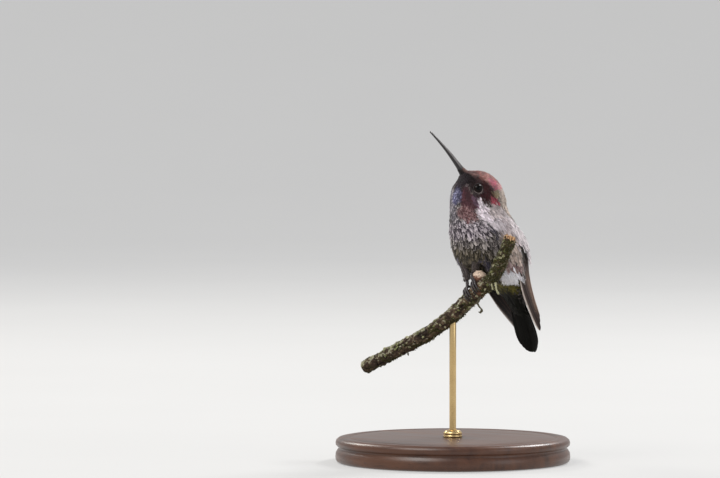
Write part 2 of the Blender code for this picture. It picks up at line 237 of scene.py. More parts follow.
def nodeTree(name):
    faces = [tuple(p.vertices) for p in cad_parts[name].data.polygons]
    return BVHTree.FromPolygons([tuple(p) for p in nodePoints(name)], faces)


def newMaterial(name, settings):
    # settings are for the shader's own sockets
    made = bpy.data.materials.new(name)
    made.use_nodes = True
    for label, value in settings.items():
        made.node_tree.nodes["Principled BSDF"].inputs[label].default_value = value
    return made, made.node_tree


def addNode(tree, kind, inputs=None, **settings):
    node = tree.nodes.new(kind)
    for label, value in settings.items():
        setattr(node, label, value)
    for label, value in (inputs or {}).items():
        if isinstance(value, bpy.types.NodeSocket):
            tree.links.new(value, node.inputs[label])
        else:
            node.inputs[label].default_value = value
    return node


def mathOf(tree, operation, *values):
    return addNode(tree, "ShaderNodeMath", dict(enumerate(values)), operation=operation).outputs[0]


def ownPaint(tree):
    return addNode(tree, "ShaderNodeAttribute", attribute_name="plume").outputs["Color"]


def ownPlace(tree):
    return addNode(tree, "ShaderNodeTexCoord").outputs["Object"]


def noiseAt(tree, place, scale, detail=4.0, rough=0.55, stretch=None):
    if stretch:
        place = addNode(tree, "ShaderNodeMapping", {"Vector": place, "Scale": stretch}).outputs["Vector"]
    settings = {"Vector": place, "Scale": scale, "Detail": detail, "Roughness": rough}
    return addNode(tree, "ShaderNodeTexNoise", settings).outputs["Fac"]


def rangeOf(tree, value, low, high, toLow, toHigh):
    settings = {"Value": value, "From Min": low, "From Max": high, "To Min": toLow, "To Max": toHigh}
    return addNode(tree, "ShaderNodeMapRange", settings).outputs["Result"]


def mixColours(tree, share, first, second):
    node = addNode(tree, "ShaderNodeMix", data_type="RGBA")
    for socket, value in ((node.inputs[0], share), (node.inputs[6], first), (node.inputs[7], second)):
        if isinstance(value, bpy.types.NodeSocket):
            tree.links.new(value, socket)
        else:
            socket.default_value = (*value, 1.0)
    return node.outputs[2]


def shadeColour(tree, colour, share):
    settings = {0: colour, "Scale": share}
    return addNode(tree, "ShaderNodeVectorMath", settings, operation="SCALE").outputs[0]


def finishLook(made, colour, roughness=None, bump=None):
    # colour, roughness and bump (height, depth in mm, strength) go into the shader
    tree = made.node_tree
    shader = tree.nodes["Principled BSDF"]
    tree.links.new(colour, shader.inputs["Base Color"])
    if roughness is not None:
        tree.links.new(roughness, shader.inputs["Roughness"])
    if bump is not None:
        settings = {"Height": bump[0], "Distance": bump[1] * mm, "Strength": bump[2]}
        normal = addNode(tree, "ShaderNodeBump", settings).outputs["Normal"]
        tree.links.new(normal, shader.inputs["Normal"])
    return made


def layeredMaterial(name, sockets, noises, base=None, over=(), shade=(), rough=None, bump=None):
    # the base, or the mesh's own paint, with colours laid over it and shades over all, each by one noise;
    # roughness from a noise, and bump from a noise with its depth and strength
    made, tree = newMaterial(name, sockets)
    found = {label: noiseAt(tree, ownPlace(tree), *row) for label, row in noises.items()}
    colour = ownPaint(tree) if base is None else base
    for label, covers, tint in over:
        colour = mixColours(tree, rangeOf(tree, found[label], *covers), colour, tint)
    for label, *shares in shade:
        colour = shadeColour(tree, colour, rangeOf(tree, found[label], *shares))
    if rough is not None:
        rough = rangeOf(tree, found[rough[0]], *rough[1:])
    if bump is not None:
        bump = (found[bump[0]], *bump[1:])
    return finishLook(made, colour, rough, bump)


# noises: scale, detail, roughness, stretch; their values from and to become shares from and to
finishes = {
    "bill_horn": {
        "sockets": {"Roughness": 0.42, "Specular IOR Level": 0.4, "Coat Weight": 0.1,
                    "Coat Roughness": 0.25},
        "noises": {"fine": (3200.0, 4.0), "broad": (500.0, 3.0)},
        "over": [("broad", (0.35, 0.7, 0.0, 0.3), tone(46, 42, 42))],
        "rough": ("fine", 0.3, 0.7, 0.28, 0.46), "bump": ("fine", 0.02, 0.4),
    },
    "eye_surface": {
        "sockets": {"Roughness": 0.09, "Specular IOR Level": 0.1, "Coat Weight": 0.02,
                    "Coat Roughness": 0.02},
        "noises": {"fleck": (2400.0, 3.0)},
        "over": [("fleck", (0.3, 0.7, 0.0, 0.5), tone(8, 6, 6))],
    },
    "lid_skin": {
        "sockets": {"Roughness": 0.55, "Specular IOR Level": 0.4},
        "noises": {"grain": (5200.0, 3.0)},
        "over": [("grain", (0.3, 0.7, 0.0, 0.4), tone(24, 20, 22))], "bump": ("grain", 0.05, 0.7),
    },
    "foot_scales": {
        "sockets": {"Roughness": 0.5, "Specular IOR Level": 0.45},
        "noises": {"grain": (4200.0, 4.0, 0.6)},
        "over": [("grain", (0.35, 0.7, 0.0, 0.5), tone(84, 76, 74))], "bump": ("grain", 0.04, 0.6),
    },
    "bark": {
        "sockets": {"Roughness": 0.85, "Specular IOR Level": 0.2},
        "noises": {"fine": (2200.0, 6.0, 0.65), "broad": (320.0, 5.0, 0.6)},
        "shade": [("fine", 0.3, 0.7, 0.55, 1.35), ("broad", 0.3, 0.7, 0.7, 1.25)],
        "bump": ("fine", 0.3, 0.9),
    },
    "moss_and_lichen": {
        "sockets": {"Roughness": 0.9, "Specular IOR Level": 0.15, "Sheen Weight": 0.3},
        "noises": {"fine": (3000.0, 4.0, 0.6)},
        "shade": [("fine", 0.3, 0.7, 0.7, 1.25)], "bump": ("fine", 0.06, 0.6),
    },
    "stand_wood": {
        "sockets": {"Roughness": 0.38, "Specular IOR Level": 0.4, "Coat Weight": 0.35,
                    "Coat Roughness": 0.3},
        "noises": {"grain": (260.0, 6.0, 0.6, (0.06, 1.0, 0.5)), "bands": (60.0, 3.0, 0.5, (0.12, 1.0, 0.6)),
                   "pores": (2600.0, 3.0, 0.6, (0.05, 1.0, 1.0))},
        "base": tone(50, 28, 17),
        "over": [("grain", (0.32, 0.68, 0.0, 1.0), tone(98, 60, 36)),
                 ("bands", (0.35, 0.65, 0.0, 0.5), tone(74, 40, 24)),
                 ("pores", (0.6, 0.72, 0.0, 0.7), tone(28, 15, 10))],
        "rough": ("grain", 0.3, 0.7, 0.32, 0.46), "bump": ("pores", 0.05, 0.35),
    },
    "stand_brass": {
        "sockets": {"Roughness": 0.28, "Metallic": 1.0},
        "noises": {"brush": (900.0, 4.0, 0.6, (1.0, 1.0, 14.0)), "spots": (120.0, 4.0)},
        "base": (0.72, 0.53, 0.26), "over": [("spots", (0.35, 0.7, 0.0, 1.0), (0.56, 0.39, 0.18))],
        "rough": ("brush", 0.3, 0.7, 0.22, 0.42), "bump": ("brush", 0.01, 0.4),
    },
    "pale_floor": {
        "sockets": {"Roughness": 0.8, "Emission Color": (1.0, 1.0, 1.0, 1.0), "Emission Strength": 0.42},
        "noises": {"grain": (5.0, 3.0)},
        "base": tone(128, 127, 125), "over": [("grain", (0.0, 1.0, 0.0, 1.0), tone(136, 135, 133))],
    },
}
# roughness, sheen, barbs along a vane, strength of the streaks, specular level, metal
plumages = {
    "soft_plumage": (0.75, 0.12, 75.0, 0.16, 0.14, 0.0),
    "shining_plumage": (0.42, 0.04, 60.0, 0.16, 0.5, 0.3),
    "bronze_plumage": (0.55, 0.08, 60.0, 0.16, 0.5, 0.15),
    "flight_plumage": (0.5, 0.0, 420.0, 0.14, 0.18, 0.0),
    "tail_plumage": (0.46, 0.0, 300.0, 0.14, 0.15, 0.0),
    "down_plumage": (0.85, 0.3, 30.0, 0.05, 0.15, 0.0),
    "feathered_skin": (0.85, 0.3, 40.0, 0.1, 0.15, 0.0),
}
barbLook = {"lean": -0.5, "fine": 2600.0, "broad": 420.0, "broadShade": (0.93, 1.07), "depth": 0.03,
            "strength": 0.5, "sheenRoughness": 0.45, "sheenTint": (0.9, 0.88, 0.9, 1.0)}


def plumageMaterial(name):
    # painted feathers: the mesh's own colour, varied along fine barbs, with bump across each vane
    roughness, sheen, barbs, streaks, specular, metal = plumages[name]
    made, tree = newMaterial(name, {
        "Roughness": roughness, "Specular IOR Level": specular, "Metallic": metal, "Sheen Weight": sheen,
        "Sheen Roughness": barbLook["sheenRoughness"], "Sheen Tint": barbLook["sheenTint"],
    })
    vane = addNode(tree, "ShaderNodeUVMap", uv_map="vane").outputs["UV"]
    parts = addNode(tree, "ShaderNodeSeparateXYZ", {"Vector": vane}).outputs
    lean = mathOf(tree, "MULTIPLY", mathOf(tree, "ABSOLUTE", parts["X"]), barbLook["lean"])
    run = mathOf(tree, "ADD", parts["Y"], lean)
    wave = mathOf(tree, "SINE", mathOf(tree, "MULTIPLY", run, barbs))
    place = ownPlace(tree)
    fine = noiseAt(tree, place, barbLook["fine"], 3.0)
    shade = rangeOf(tree, fine, 0.3, 0.7, 1 - streaks, 1 + streaks)
    broad = rangeOf(tree, noiseAt(tree, place, barbLook["broad"], 2.0), 0.3, 0.7, *barbLook["broadShade"])
    colour = shadeColour(tree, ownPaint(tree), mathOf(tree, "MULTIPLY", shade, broad))
    rough = rangeOf(tree, fine, 0.2, 0.8, roughness - 0.08, roughness + 0.1)
    height = mathOf(tree, "ADD", wave, fine)
    return finishLook(made, colour, rough, (height, barbLook["depth"], barbLook["strength"]))


looks = {name: plumageMaterial(name) for name in plumages}
looks.update({name: layeredMaterial(name, **row) for name, row in finishes.items()})


bodyShape = {
    "headTurn": math.radians(36.0),
    "neckY": 0.5,
    "power": 2.15,
    # back (y, z), belly (y, z), half width, share of the head's turn; the last two lie round the tail
    "sections": [
        (-4.9, 40.6, -6.6, 38.8, 1.7, 1.0), (-2.5, 40.7, -7.3, 36.6, 3.4, 1.0),
        (0.9, 40.2, -9.1, 33.9, 5.3, 1.0), (4.2, 38.9, -9.9, 31.0, 6.5, 1.0),
        (7.0, 36.7, -10.1, 28.4, 7.1, 1.0), (9.1, 33.6, -10.1, 26.2, 7.5, 0.95),
        (10.4, 30.0, -10.2, 24.0, 8.1, 0.78), (11.5, 26.4, -10.4, 21.6, 9.2, 0.45),
        (13.8, 22.8, -10.2, 18.4, 10.7, 0.15), (16.9, 19.2, -9.2, 14.6, 11.8, 0.0),
        (19.4, 15.2, -7.6, 10.5, 12.3, 0.0), (21.2, 10.8, -5.2, 6.7, 12.1, 0.0),
        (22.3, 6.4, -1.6, 3.2, 11.2, 0.0), (22.9, 2.2, 4.0, 0.1, 9.4, 0.0),
        (23.4, -1.6, 11.0, -2.4, 6.9, 0.0), (24.2, -5.2, 17.2, -6.0, 4.6, 0.0),
        (25.2, -9.2, 21.2, -10.6, 3.2, 0.0), (27.0, -13.4, 24.6, -14.6, 3.3, 0.0),
        (28.6, -17.4, 26.6, -18.3, 3.6, 0.0),
    ],
    "lastBody": 16.0,
    # the bed that a folded wing lies in, and the hollow over the feet
    "bedDepth": 1.5, "bedEnds": ((6.9, 8.5), (12.6, 14.2)), "bedSides": ((14.0, 30.0), (92.0, 104.0)),
    "hollowPlace": (2.6, -3.8, 2.6), "hollowRadii": (5.4, 3.2, 4.8),
    # shallow dips: depth, stations where they begin and end, degrees from the back that they fade over
    "browDip": (0.6, (0.0, 0.5), (1.0, 2.6), (35, 85)),
    "napeDip": (0.4, (5.9, 6.8), (7.3, 8.2), (45, 75)),
    "perStation": 14, "columns": 180,
}


def turnedHead(points, turn):
    # points turned to the bird's right about the upright line through its neck
    c, s = np.cos(turn), np.sin(turn)
    x, y, z = np.moveaxis(points, -1, 0)
    return np.stack([x * c + (y - bodyShape["neckY"]) * s,
                     bodyShape["neckY"] - x * s + (y - bodyShape["neckY"]) * c, z], -1)


def fromBack(angle):
    # degrees round from the back, the same on both sides
    share = np.mod(angle, fullTurn)
    return np.degrees(np.minimum(share, fullTurn - share))


def surfaceFrom(points, top, wrap):
    # points (u, v, 3) with their normals and their steps per unit of u and of v
    stepU = np.gradient(points, axis=0) * (points.shape[0] - 1) / top[0]
    if wrap:
        stepV = (np.roll(points, -1, 1) - np.roll(points, 1, 1)) / 2 * points.shape[1] / top[1]
    else:
        stepV = np.gradient(points, axis=1) * (points.shape[1] - 1) / top[1]
    return {"points": points, "out": unit(np.cross(stepV, stepU)), "stepU": stepU, "stepV": stepV,
            "top": top, "wrap": wrap}


def readSurface(surface, u, v, labels=("points", "out", "stepU", "stepV")):
    rows, columns = surface["points"].shape[:2]
    inside = np.clip(u, 0, surface["top"][0])
    x = inside / surface["top"][0] * (rows - 1)
    i = np.minimum(x.astype(int), rows - 2)
    fx = (x - i)[..., None]
    if surface["wrap"]:
        y = np.mod(v / surface["top"][1], 1) * columns
        j = y.astype(int) % columns
        k, fy, acrossOver = (j + 1) % columns, (y - np.floor(y))[..., None], None
    else:
        held = np.clip(v, 0, surface["top"][1])
        y = held / surface["top"][1] * (columns - 1)
        j = np.minimum(y.astype(int), columns - 2)
        k, fy, acrossOver = j + 1, (y - j)[..., None], (v - held)[..., None]
    found = {}
    for label in labels:
        grid = surface[label]
        grid = grid if grid.ndim == 3 else grid[..., None]
        low = grid[i, j] * (1 - fy) + grid[i, k] * fy
        high = grid[i + 1, j] * (1 - fy) + grid[i + 1, k] * fy
        found[label] = low * (1 - fx) + high * fx
    if "stepU" in found and "points" in found:
        found["points"] = found["points"] + found["stepU"] * (u - inside)[..., None]
        if acrossOver is not None:
            found["points"] = found["points"] + found["stepV"] * acrossOver
    return found


def faceOut(surface):
    # turns the ways out of a tube away from its middle, and tells if they were inside out
    middle = surface["points"].mean(1, keepdims=True)
    sign = np.sign(((surface["points"] - middle) * surface["out"]).sum(-1).mean())
    surface["out"] = surface["out"] * sign
    return sign < 0


def squareOff(value):
    # a circle's sine or cosine made a little fuller at the corners
    return np.sign(value) * np.abs(value) ** (2 / bodyShape["power"])


def bodySurface():
    shape = bodyShape
    stations = len(shape["sections"]) - 1
    u = np.linspace(0, stations, stations * shape["perStation"] + 1)[:, None]
    v = anglesOf(shape["columns"])[None, :]
    rows = along(shape["sections"], u[:, 0])
    none = np.zeros(len(rows))
    back = np.stack([none, rows[:, 0], rows[:, 1]], 1)[:, None]
    belly = np.stack([none, rows[:, 2], rows[:, 3]], 1)[:, None]
    middle = (back + belly) / 2
    out = (back - middle) * squareOff(np.cos(v))[..., None]
    out[..., 0] = rows[:, 4:5] * squareOff(np.sin(v))
    turn = rows[:, 5:6] * shape["headTurn"]
    points = turnedHead(middle + out, turn * np.ones_like(v))
    surface = surfaceFrom(points, (float(stations), fullTurn), True)
    degrees = fromBack(v)
    surface["bed"] = shape["bedDepth"] * band(u, *shape["bedEnds"]) * band(degrees, *shape["bedSides"])
    # how far the surface steps back to leave the hollow over the feet
    radii = np.array(shape["hollowRadii"])
    start = (points - shape["hollowPlace"]) / radii
    way = -surface["out"] / radii
    a, b, c = (way**2).sum(-1), (start * way).sum(-1), (start**2).sum(-1) - 1
    root = np.sqrt(np.maximum(b * b - a * c, 0))
    surface["hollow"] = np.where(c < 0, (-b + root) / a, 0)
    for depth, rise, fall, fade in (shape["browDip"], shape["napeDip"]):
        surface["hollow"] = surface["hollow"] + depth * band(u, rise, fall) * (1 - ramp(degrees, *fade))
    return surface


body = bodySurface()
wingOver = {"stations": (6.4, 13.6), "degrees": (12, 112), "reach": 8.0, "rounds": 9, "hold": 0.35,
            "clear": 0.3, "clearOver": (0.1, 0.8)}


def wingLift():
    # how high the folded wings stand over the body, eased out round their edges
    reach, hold = wingOver["reach"], wingOver["hold"]
    lift = np.zeros(body["points"].shape[:2])
    trees = [nodeTree("wing_" + side) for side in ("left", "right")]
    degrees = fromBack(anglesOf(bodyShape["columns"]))
    first, last = (int(station * bodyShape["perStation"]) for station in wingOver["stations"])
    low, high = wingOver["degrees"]
    for i in range(first, last):
        for j in np.flatnonzero((degrees > low) & (degrees < high)):
            way = body["out"][i, j]
            start = Vector(body["points"][i, j] + way * reach)
            for tree in trees:
                gap = tree.ray_cast(start, Vector(-way), reach)[3]
                if gap is not None:
                    lift[i, j] = max(lift[i, j], reach - gap)
    body["wingOver"] = lift.copy()
    for _ in range(wingOver["rounds"]):
        beside = np.roll(lift, 1, 1) + np.roll(lift, -1, 1)
        around = (beside + np.roll(lift, 1, 0) + np.roll(lift, -1, 0)) / 4
        lift = np.maximum(lift * hold + around * (1 - hold), body["wingOver"])
    body["lift"] = lift + wingOver["clear"] * ramp(lift, *wingOver["clearOver"])


wingLift()
print("body surface ready")

# the markings of the plumage and a few patches of painted light and shade, the later ones laid over the
# earlier ones
# name: station, degrees from the back, reach in stations, reach in degrees, centre, fringe
markingsAndLight = {
    "mottledGrey": (9.0, 150, 40, 400, (52, 47, 47), (192, 182, 178)),
    "back": (11.5, 0, 5.6, 52, (70, 74, 52), (126, 121, 99)),
    "nape": (6.4, 12, 1.9, 50, (172, 156, 144), (220, 206, 194)),
    # the pale pinkish grey of the shoulder is a painted sheen
    "shoulderSheen": (8.7, 80, 1.7, 22, (168, 155, 156), (214, 202, 205)),
    # the pale scapulars here are a painted rim light from behind
    "scapularRimLight": (10.3, 60, 3.0, 19, (198, 187, 188), (236, 229, 232)),
    "breastSide": (7.3, 100, 1.35, 20, (188, 178, 182), (228, 219, 226)),
    "flank": (10.8, 99, 1.9, 17, (166, 148, 138), (202, 188, 178)),
    "flankEnd": (12.0, 107, 0.55, 18, (122, 98, 96), (178, 160, 156)),
    "upperBreast": (7.9, 160, 1.0, 48, (58, 50, 60), (222, 210, 216)),
    "belly": (11.4, 165, 1.9, 46, (52, 47, 37), (126, 116, 98)),
    "bellyViolet": (11.4, 150, 0.7, 10, (64, 60, 74), (138, 132, 150)),
    "breastBlue": (8.7, 114, 0.55, 8, (46, 43, 54), (132, 126, 138)),
    "rump": (13.6, 0, 1.8, 66, (62, 69, 42), (110, 110, 78)),
    "undertail": (14.0, 180, 0.85, 110, (68, 64, 20), (116, 108, 46)),
    "undertailDark": (16.5, 180, 2.2, 110, (13, 14, 10), (27, 29, 19)),
    "vent": (12.85, 119, 0.78, 24, (228, 226, 234), (250, 249, 252)),
    "uppertail": (16.0, 0, 1.9, 70, (46, 60, 30), (82, 94, 54)),
    "face": (2.6, 78, 3.0, 44, (52, 36, 37), (80, 60, 60)),
    "forehead": (1.1, 12, 2.1, 68, (100, 70, 66), (138, 104, 98)),
    "crown": (3.0, 12, 1.9, 54, (126, 74, 67), (170, 112, 101)),
    "crownRose": (4.05, 43, 0.8, 13, (150, 56, 76), (196, 112, 126)),
    "crownPale": (4.65, 27, 0.4, 15, (186, 124, 126), (220, 168, 168)),
    "eyeStripe": (4.3, 67, 1.15, 10, (46, 20, 22), (74, 38, 38)),
    "earOlive": (5.2, 56, 0.5, 11, (112, 98, 74), (160, 148, 120)),
    "earRose": (5.8, 70, 0.58, 10, (134, 54, 66), (174, 98, 106)),
    "earDark": (4.9, 82, 0.75, 7, (48, 20, 24), (76, 38, 40)),
    "lores": (1.8, 100, 1.7, 24, (20, 13, 14), (38, 27, 28)),
    "chin": (1.2, 135, 1.6, 48, (30, 22, 26), (58, 46, 54)),
    "throatMiddle": (4.6, 176, 2.5, 25, (52, 44, 58), (206, 198, 204)),
    "throatMaroon": (4.3, 119, 1.9, 21, (56, 22, 31), (94, 54, 61)),
    "throatViolet": (3.25, 150, 1.2, 21, (46, 44, 84), (166, 164, 196)),
    "throatRosy": (6.1, 136, 1.2, 21, (92, 52, 55), (178, 144, 144)),
    "throatEdge": (5.0, 102, 1.1, 7, (84, 56, 72), (128, 100, 118)),
    "whiteWedge": (5.75, 95, 0.85, 6.5, (222, 208, 216), (242, 232, 238)),
    "whiteBreast": (6.7, 103, 0.85, 12, (222, 208, 216), (244, 234, 240)),
    "eyeDark": (3.4, 92, 0.95, 15, (36, 24, 25), (62, 46, 46)),
    "eyeArcFront": (2.5, 108, 0.27, 3.6, (88, 76, 78), (128, 114, 116)),
    "eyeArcLow": (3.2, 105.5, 0.27, 3.2, (96, 84, 82), (138, 124, 120)),
    "eyeArcUnder": (3.75, 101, 0.2, 3.0, (92, 80, 78), (132, 118, 114)),
    "eyeArcBehind": (4.22, 87, 0.14, 6, (124, 110, 108), (168, 156, 152)),
    "neckSide": (6.8, 78, 0.75, 18, (176, 163, 162), (222, 211, 212)),
    # a small painted shadow in a gap among the feathers of the neck
    "gapShadow": (7.3, 54, 0.16, 5, (40, 34, 36), (80, 70, 70)),
}

paintEdges = {"soft": (0.75, 1.15), "loose": (5.5, 8.0), "leastLoose": 0.45,
              # how far the edges wander, over lumps of what size: in stations and in degrees
              "wander": (0.16, 2.0), "swing": (4.5, 1.7)}


def paintAt(u, v):
    # centre and fringe colours at places on the body
    degrees = fromBack(v)
    spot = readSurface(body, u, v, ("points",))["points"]
    least = paintEdges["leastLoose"]
    loose = least + (1 - least) * ramp(u, *paintEdges["loose"])
    u = u + paintEdges["wander"][0] * loose * ripple(spot, paintEdges["wander"][1], 3)
    degrees = degrees + paintEdges["swing"][0] * loose * ripple(spot, paintEdges["swing"][1], 4)
    centre, fringe = np.zeros(u.shape + (3,)), np.zeros(u.shape + (3,))
    for station, middle, reach, spread, inner, outer in markingsAndLight.values():
        gap = np.hypot((u - station) / reach, (degrees - middle) / spread)
        share = (1 - ramp(gap, *paintEdges["soft"]))[..., None]
        centre += (tone(*inner) - centre) * share
        fringe += (tone(*outer) - fringe) * share
    return centre, fringe


def vaneTemplate(rows, columns=2, teeth=0.22, slant=0.16, fullest=0.62, tip=4.0):
    # a closed thin vane: top sheet, under sheet and a toothed rim, in shares along s and across t
    s, t, under, rim = [], [], [], []
    index = {}
    for i in range(1, rows):
        for sheet in (0, 1):
            for j in range(-columns, columns + 1):
                onRim = abs(j) == columns
                if sheet and onRim:
                    index[i, j, 1] = index[i, j, 0]
                    continue
                index[i, j, sheet] = len(s)
                across = j / columns
                at = i / rows
                lean = slant * abs(across) * (1 - at) * at * 3
                notch = teeth * (i % 2) if onRim else 0.0
                s.append(min(at + lean * (1 - notch), 0.995))
                t.append(across * (1 - notch))
                under.append(sheet)
                rim.append(onRim)
    root, end = len(s), len(s) + 1
    s, t, under, rim = s + [0.0, 1.0], t + [0.0, 0.0], under + [0.5, 0.5], rim + [True, True]
    quads, tris = [], []
    for j in range(-columns, columns):
        for i in range(1, rows - 1):
            for sheet, turned in ((0, 1), (1, -1)):
                ring = [(i, j), (i, j + 1), (i + 1, j + 1), (i + 1, j)]
                quads.append([index[at[0], at[1], sheet] for at in ring][::turned])
        tris.append((root, index[1, j + 1, 0], index[1, j, 0]))
        tris.append((root, index[1, j, 1], index[1, j + 1, 1]))
        tris.append((end, index[rows - 1, j, 0], index[rows - 1, j + 1, 0]))
        tris.append((end, index[rows - 1, j + 1, 1], index[rows - 1, j, 1]))
    s, t = np.array(s), np.array(t)
    full = (1 - (1 - s) ** 2.4) ** (0.5 / fullest) * (1 - s**tip) ** 0.55
    return {"s": s, "t": t, "under": np.array(under, float), "rim": np.array(rim), "width": full * t,
            "quads": np.array(quads), "tris": np.array(tris)}


def steer(found, direction):
    # (du, dv) that moves a place by a 3-D step in the surface
    a, b = found["stepU"], found["stepV"]
    aa, ab, bb = (a * a).sum(-1), (a * b).sum(-1), (b * b).sum(-1)
    ad, bd = (a * direction).sum(-1), (b * direction).sum(-1)
    area = np.maximum(aa * bb - ab * ab, 1e-9)
    return (ad * bb - bd * ab) / area, (bd * aa - ad * ab) / area


def spinesOn(surface, u, v, turn, length, count=7):
    # shafts that start at (u, v) and follow the lie of the coat, turned by an angle from it
    path = [(u, v)]
    for _ in range(count - 1):
        found = readSurface(surface, u, v)
        ahead = unit(found["stepU"])
        way = roundWay(ahead, np.cross(ahead, found["out"]), turn)
        du, dv = steer(found, way * (length / (count - 1))[:, None])
        u, v = u + du, v + dv
        path.append((u, v))
    return np.stack([np.stack(p, -1) for p in path], 1)


def asColumn(value):
    return np.asarray(value, float).reshape(-1, 1) if np.ndim(value) else value


def layVanes(surface, spines, template, width, low, high, camber=0.1, curl=0.0, roll=0.0, thick=0.05,
             bedShare=1.0, outerWeb=None, leadingSide=1, rise=1.2, ridge=0.0):
    # all the points of many vanes (vane, vertex, 3)
    s, t = template["s"], template["t"]
    at = np.clip(s * (spines.shape[1] - 1), 0, spines.shape[1] - 1.0001)
    i = at.astype(int)
    spine = mix(spines[:, i], spines[:, i + 1], (at - i)[None, :, None])
    ahead = spines[:, i + 1] - spines[:, i]
    found = readSurface(surface, spine[..., 0], spine[..., 1])
    forward = unit(found["stepU"] * ahead[..., :1] + found["stepV"] * ahead[..., 1:])
    side = np.cross(forward, found["out"])
    across = asColumn(width) * template["width"][None]
    if outerWeb is not None:  # one web is narrower than the other
        across = np.where(across * leadingSide > 0, across * outerWeb[:, None], across)
    du, dv = steer(found, side * across[..., None])
    labels = ["points", "out", "stepU", "stepV"]
    labels += [label for label in ("bed", "hollow", "lift") if label in surface]
    ground = readSurface(surface, spine[..., 0] + du, spine[..., 1] + dv, labels)
    height = asColumn(low) + (asColumn(high) - asColumn(low)) * s[None] ** rise
    height = height + asColumn(camber) * (0.6 - t[None] ** 2) * np.sin(np.pi * np.clip(s, 0, 1))[None]
    height = height + asColumn(curl) * s[None] ** 3 + asColumn(roll) * t[None] * np.sin(np.pi * s)[None]
    height = height + ridge * (np.abs(t[None]) < 0.05) - thick * template["under"][None]
    if "bed" in ground:
        bed, lift, share = ground["bed"][..., 0], ground["lift"][..., 0], asColumn(bedShare)
        height = height - bed * share + lift * (1 - share) - ground["hollow"][..., 0]
    return ground["points"] + ground["out"] * height[..., None]


def vaneColours(template, centre, fringe, down, dark, start=0.45, streak=0.16):
    # colours of every point of every vane: downy root, centre and a pale rim
    s, t = template["s"][None, :, None], np.abs(template["t"])[None, :, None]
    edge = ramp(np.maximum(t**1.4 * 1.05, (s - 0.1) ** 4 * 1.5), start, 0.95)
    colour = mix(centre[:, None], fringe[:, None], edge)
    root = 1 - ramp(s, 0.12, 0.5)
    colour = colour * (1 - root * dark) + down * root * dark
    return colour * (1 + streak * rng.uniform(-1, 1, colour.shape[:2] + (1,)))


def patchPlaces(template, u, v, size=0.003, edge=0.0005):
    # a tiny patch of the map for each vane, beside its root
    patch = np.stack([template["t"] * 0.5, template["s"]], -1)[None] * size
    return np.clip(np.stack([u, v], 1)[:, None] + patch + edge, edge, 1 - edge)


def stripPlaces(template, count, wide, first=0.02, last=0.9, fill=0.42, start=0.02, run=0.96):
    # a strip of the map for each long feather, one beside the next
    across = np.linspace(first, last, count)[:, None] + (template["t"] * fill + 0.5)[None] * wide
    return np.stack([across, np.broadcast_to(template["s"] * run + start, across.shape)], -1)


def vanePiece(name, look, points, template, colours, bake, slot="plumage", *nodes):
    # joins laid vanes into one finished piece
    n, count = points.shape[:2]
    vane = np.broadcast_to(np.stack([template["t"], template["s"]], -1), (n, count, 2))
    faceSets = [repeated(template[kind], n, count) for kind in ("quads", "tris")]
    rim = np.broadcast_to(template["rim"], (n, count)).ravel()
    layers = {"OFBake": bake.reshape(-1, 2), "vane": vane.reshape(-1, 2)}
    finishPiece(makeObject(name, points, faceSets, looks[look], colours, layers, rim), slot, *nodes)


skinShape = {"headDepth": 0.45, "bodyDepth": 0.95, "change": (4.5, 8.5), "rows": 190, "columns": 120,
             "centreShare": 0.7, "fringeShare": 0.15, "vaneRepeat": 40,
             "legSides": 20, "legRows": 10, "legRadii": (0.5, 0.85, 1.3), "legRise": 0.6,
             "legTone": tone(120, 112, 112), "legMap": (0.45, 0.7), "ankleCount": 10}


def coatDepth(u):
    # how deep the skin lies under the tips of the coat
    return mix(skinShape["headDepth"], skinShape["bodyDepth"], ramp(u, *skinShape["change"]))


def legAxis(side):
    # the ankle and the top of a leg
    points = nodePoints("leg_" + side)
    order = np.argsort(points[:, 2])
    count = skinShape["ankleCount"]
    return points[order[:count]].mean(0), points[order[-count:]].mean(0)


def makeSkin():
    shape = skinShape
    rows, columns = shape["rows"], shape["columns"]
    u = np.linspace(0, bodyShape["lastBody"], rows)[:, None] * np.ones(columns)
    v = anglesOf(columns)[None] * np.ones((rows, 1))
    found = readSurface(body, u, v, ("points", "out", "bed", "hollow"))
    sink = coatDepth(u) + found["bed"][..., 0] + found["hollow"][..., 0]
    points = withEnds(found["points"] - found["out"] * sink[..., None])
    centre, fringe = paintAt(u, v)
    colours = (shape["centreShare"] * centre + shape["fringeShare"] * fringe).reshape(-1, 3)
    colours = join([colours, colours[:1], colours[-1:]])
    places = np.stack([v / fullTurn, u / bodyShape["lastBody"]], -1).reshape(-1, 2)
    places = join([places, [[0.5, 0.0], [0.5, 1.0]]])
    faceSets = solidFaces(rows, columns)
    for side in ("left", "right"):
        low, high = legAxis(side)
        high = high + (high - low) * shape["legRise"]
        line = [low, (low + high) / 2, high]
        leg = tubePoints(line, shape["legRadii"], shape["legRows"], shape["legSides"])
        faceSets += [f + len(points) for f in solidFaces(shape["legRows"], shape["legSides"])]
        points = join([points, leg])
        colours = join([colours, np.tile(shape["legTone"], (len(leg), 1))])
        spot = np.linspace(0, 0.02, len(leg))[:, None] + shape["legMap"]
        places = join([places, spot])
    made = makeObject("bird_skin", points, faceSets, looks["feathered_skin"], colours,
                      {"OFBake": places, "vane": places * shape["vaneRepeat"]})
    finishPiece(made, "plumage", "head", "neck", "trunk", "leg_left", "leg_right")


makeSkin()
print("skin made")

# no feather grows nearer to an eye than clear, and those within guard are combed round it
eyeOpening = {"clear": 2.12, "guard": 3.5, "comb": 1.25}
eyes = {}
for side in ("left", "right"):
    corners = np.array(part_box("eye_" + side)) / mm - gripPlace
    eyes[side] = (corners[0] + corners[1]) / 2

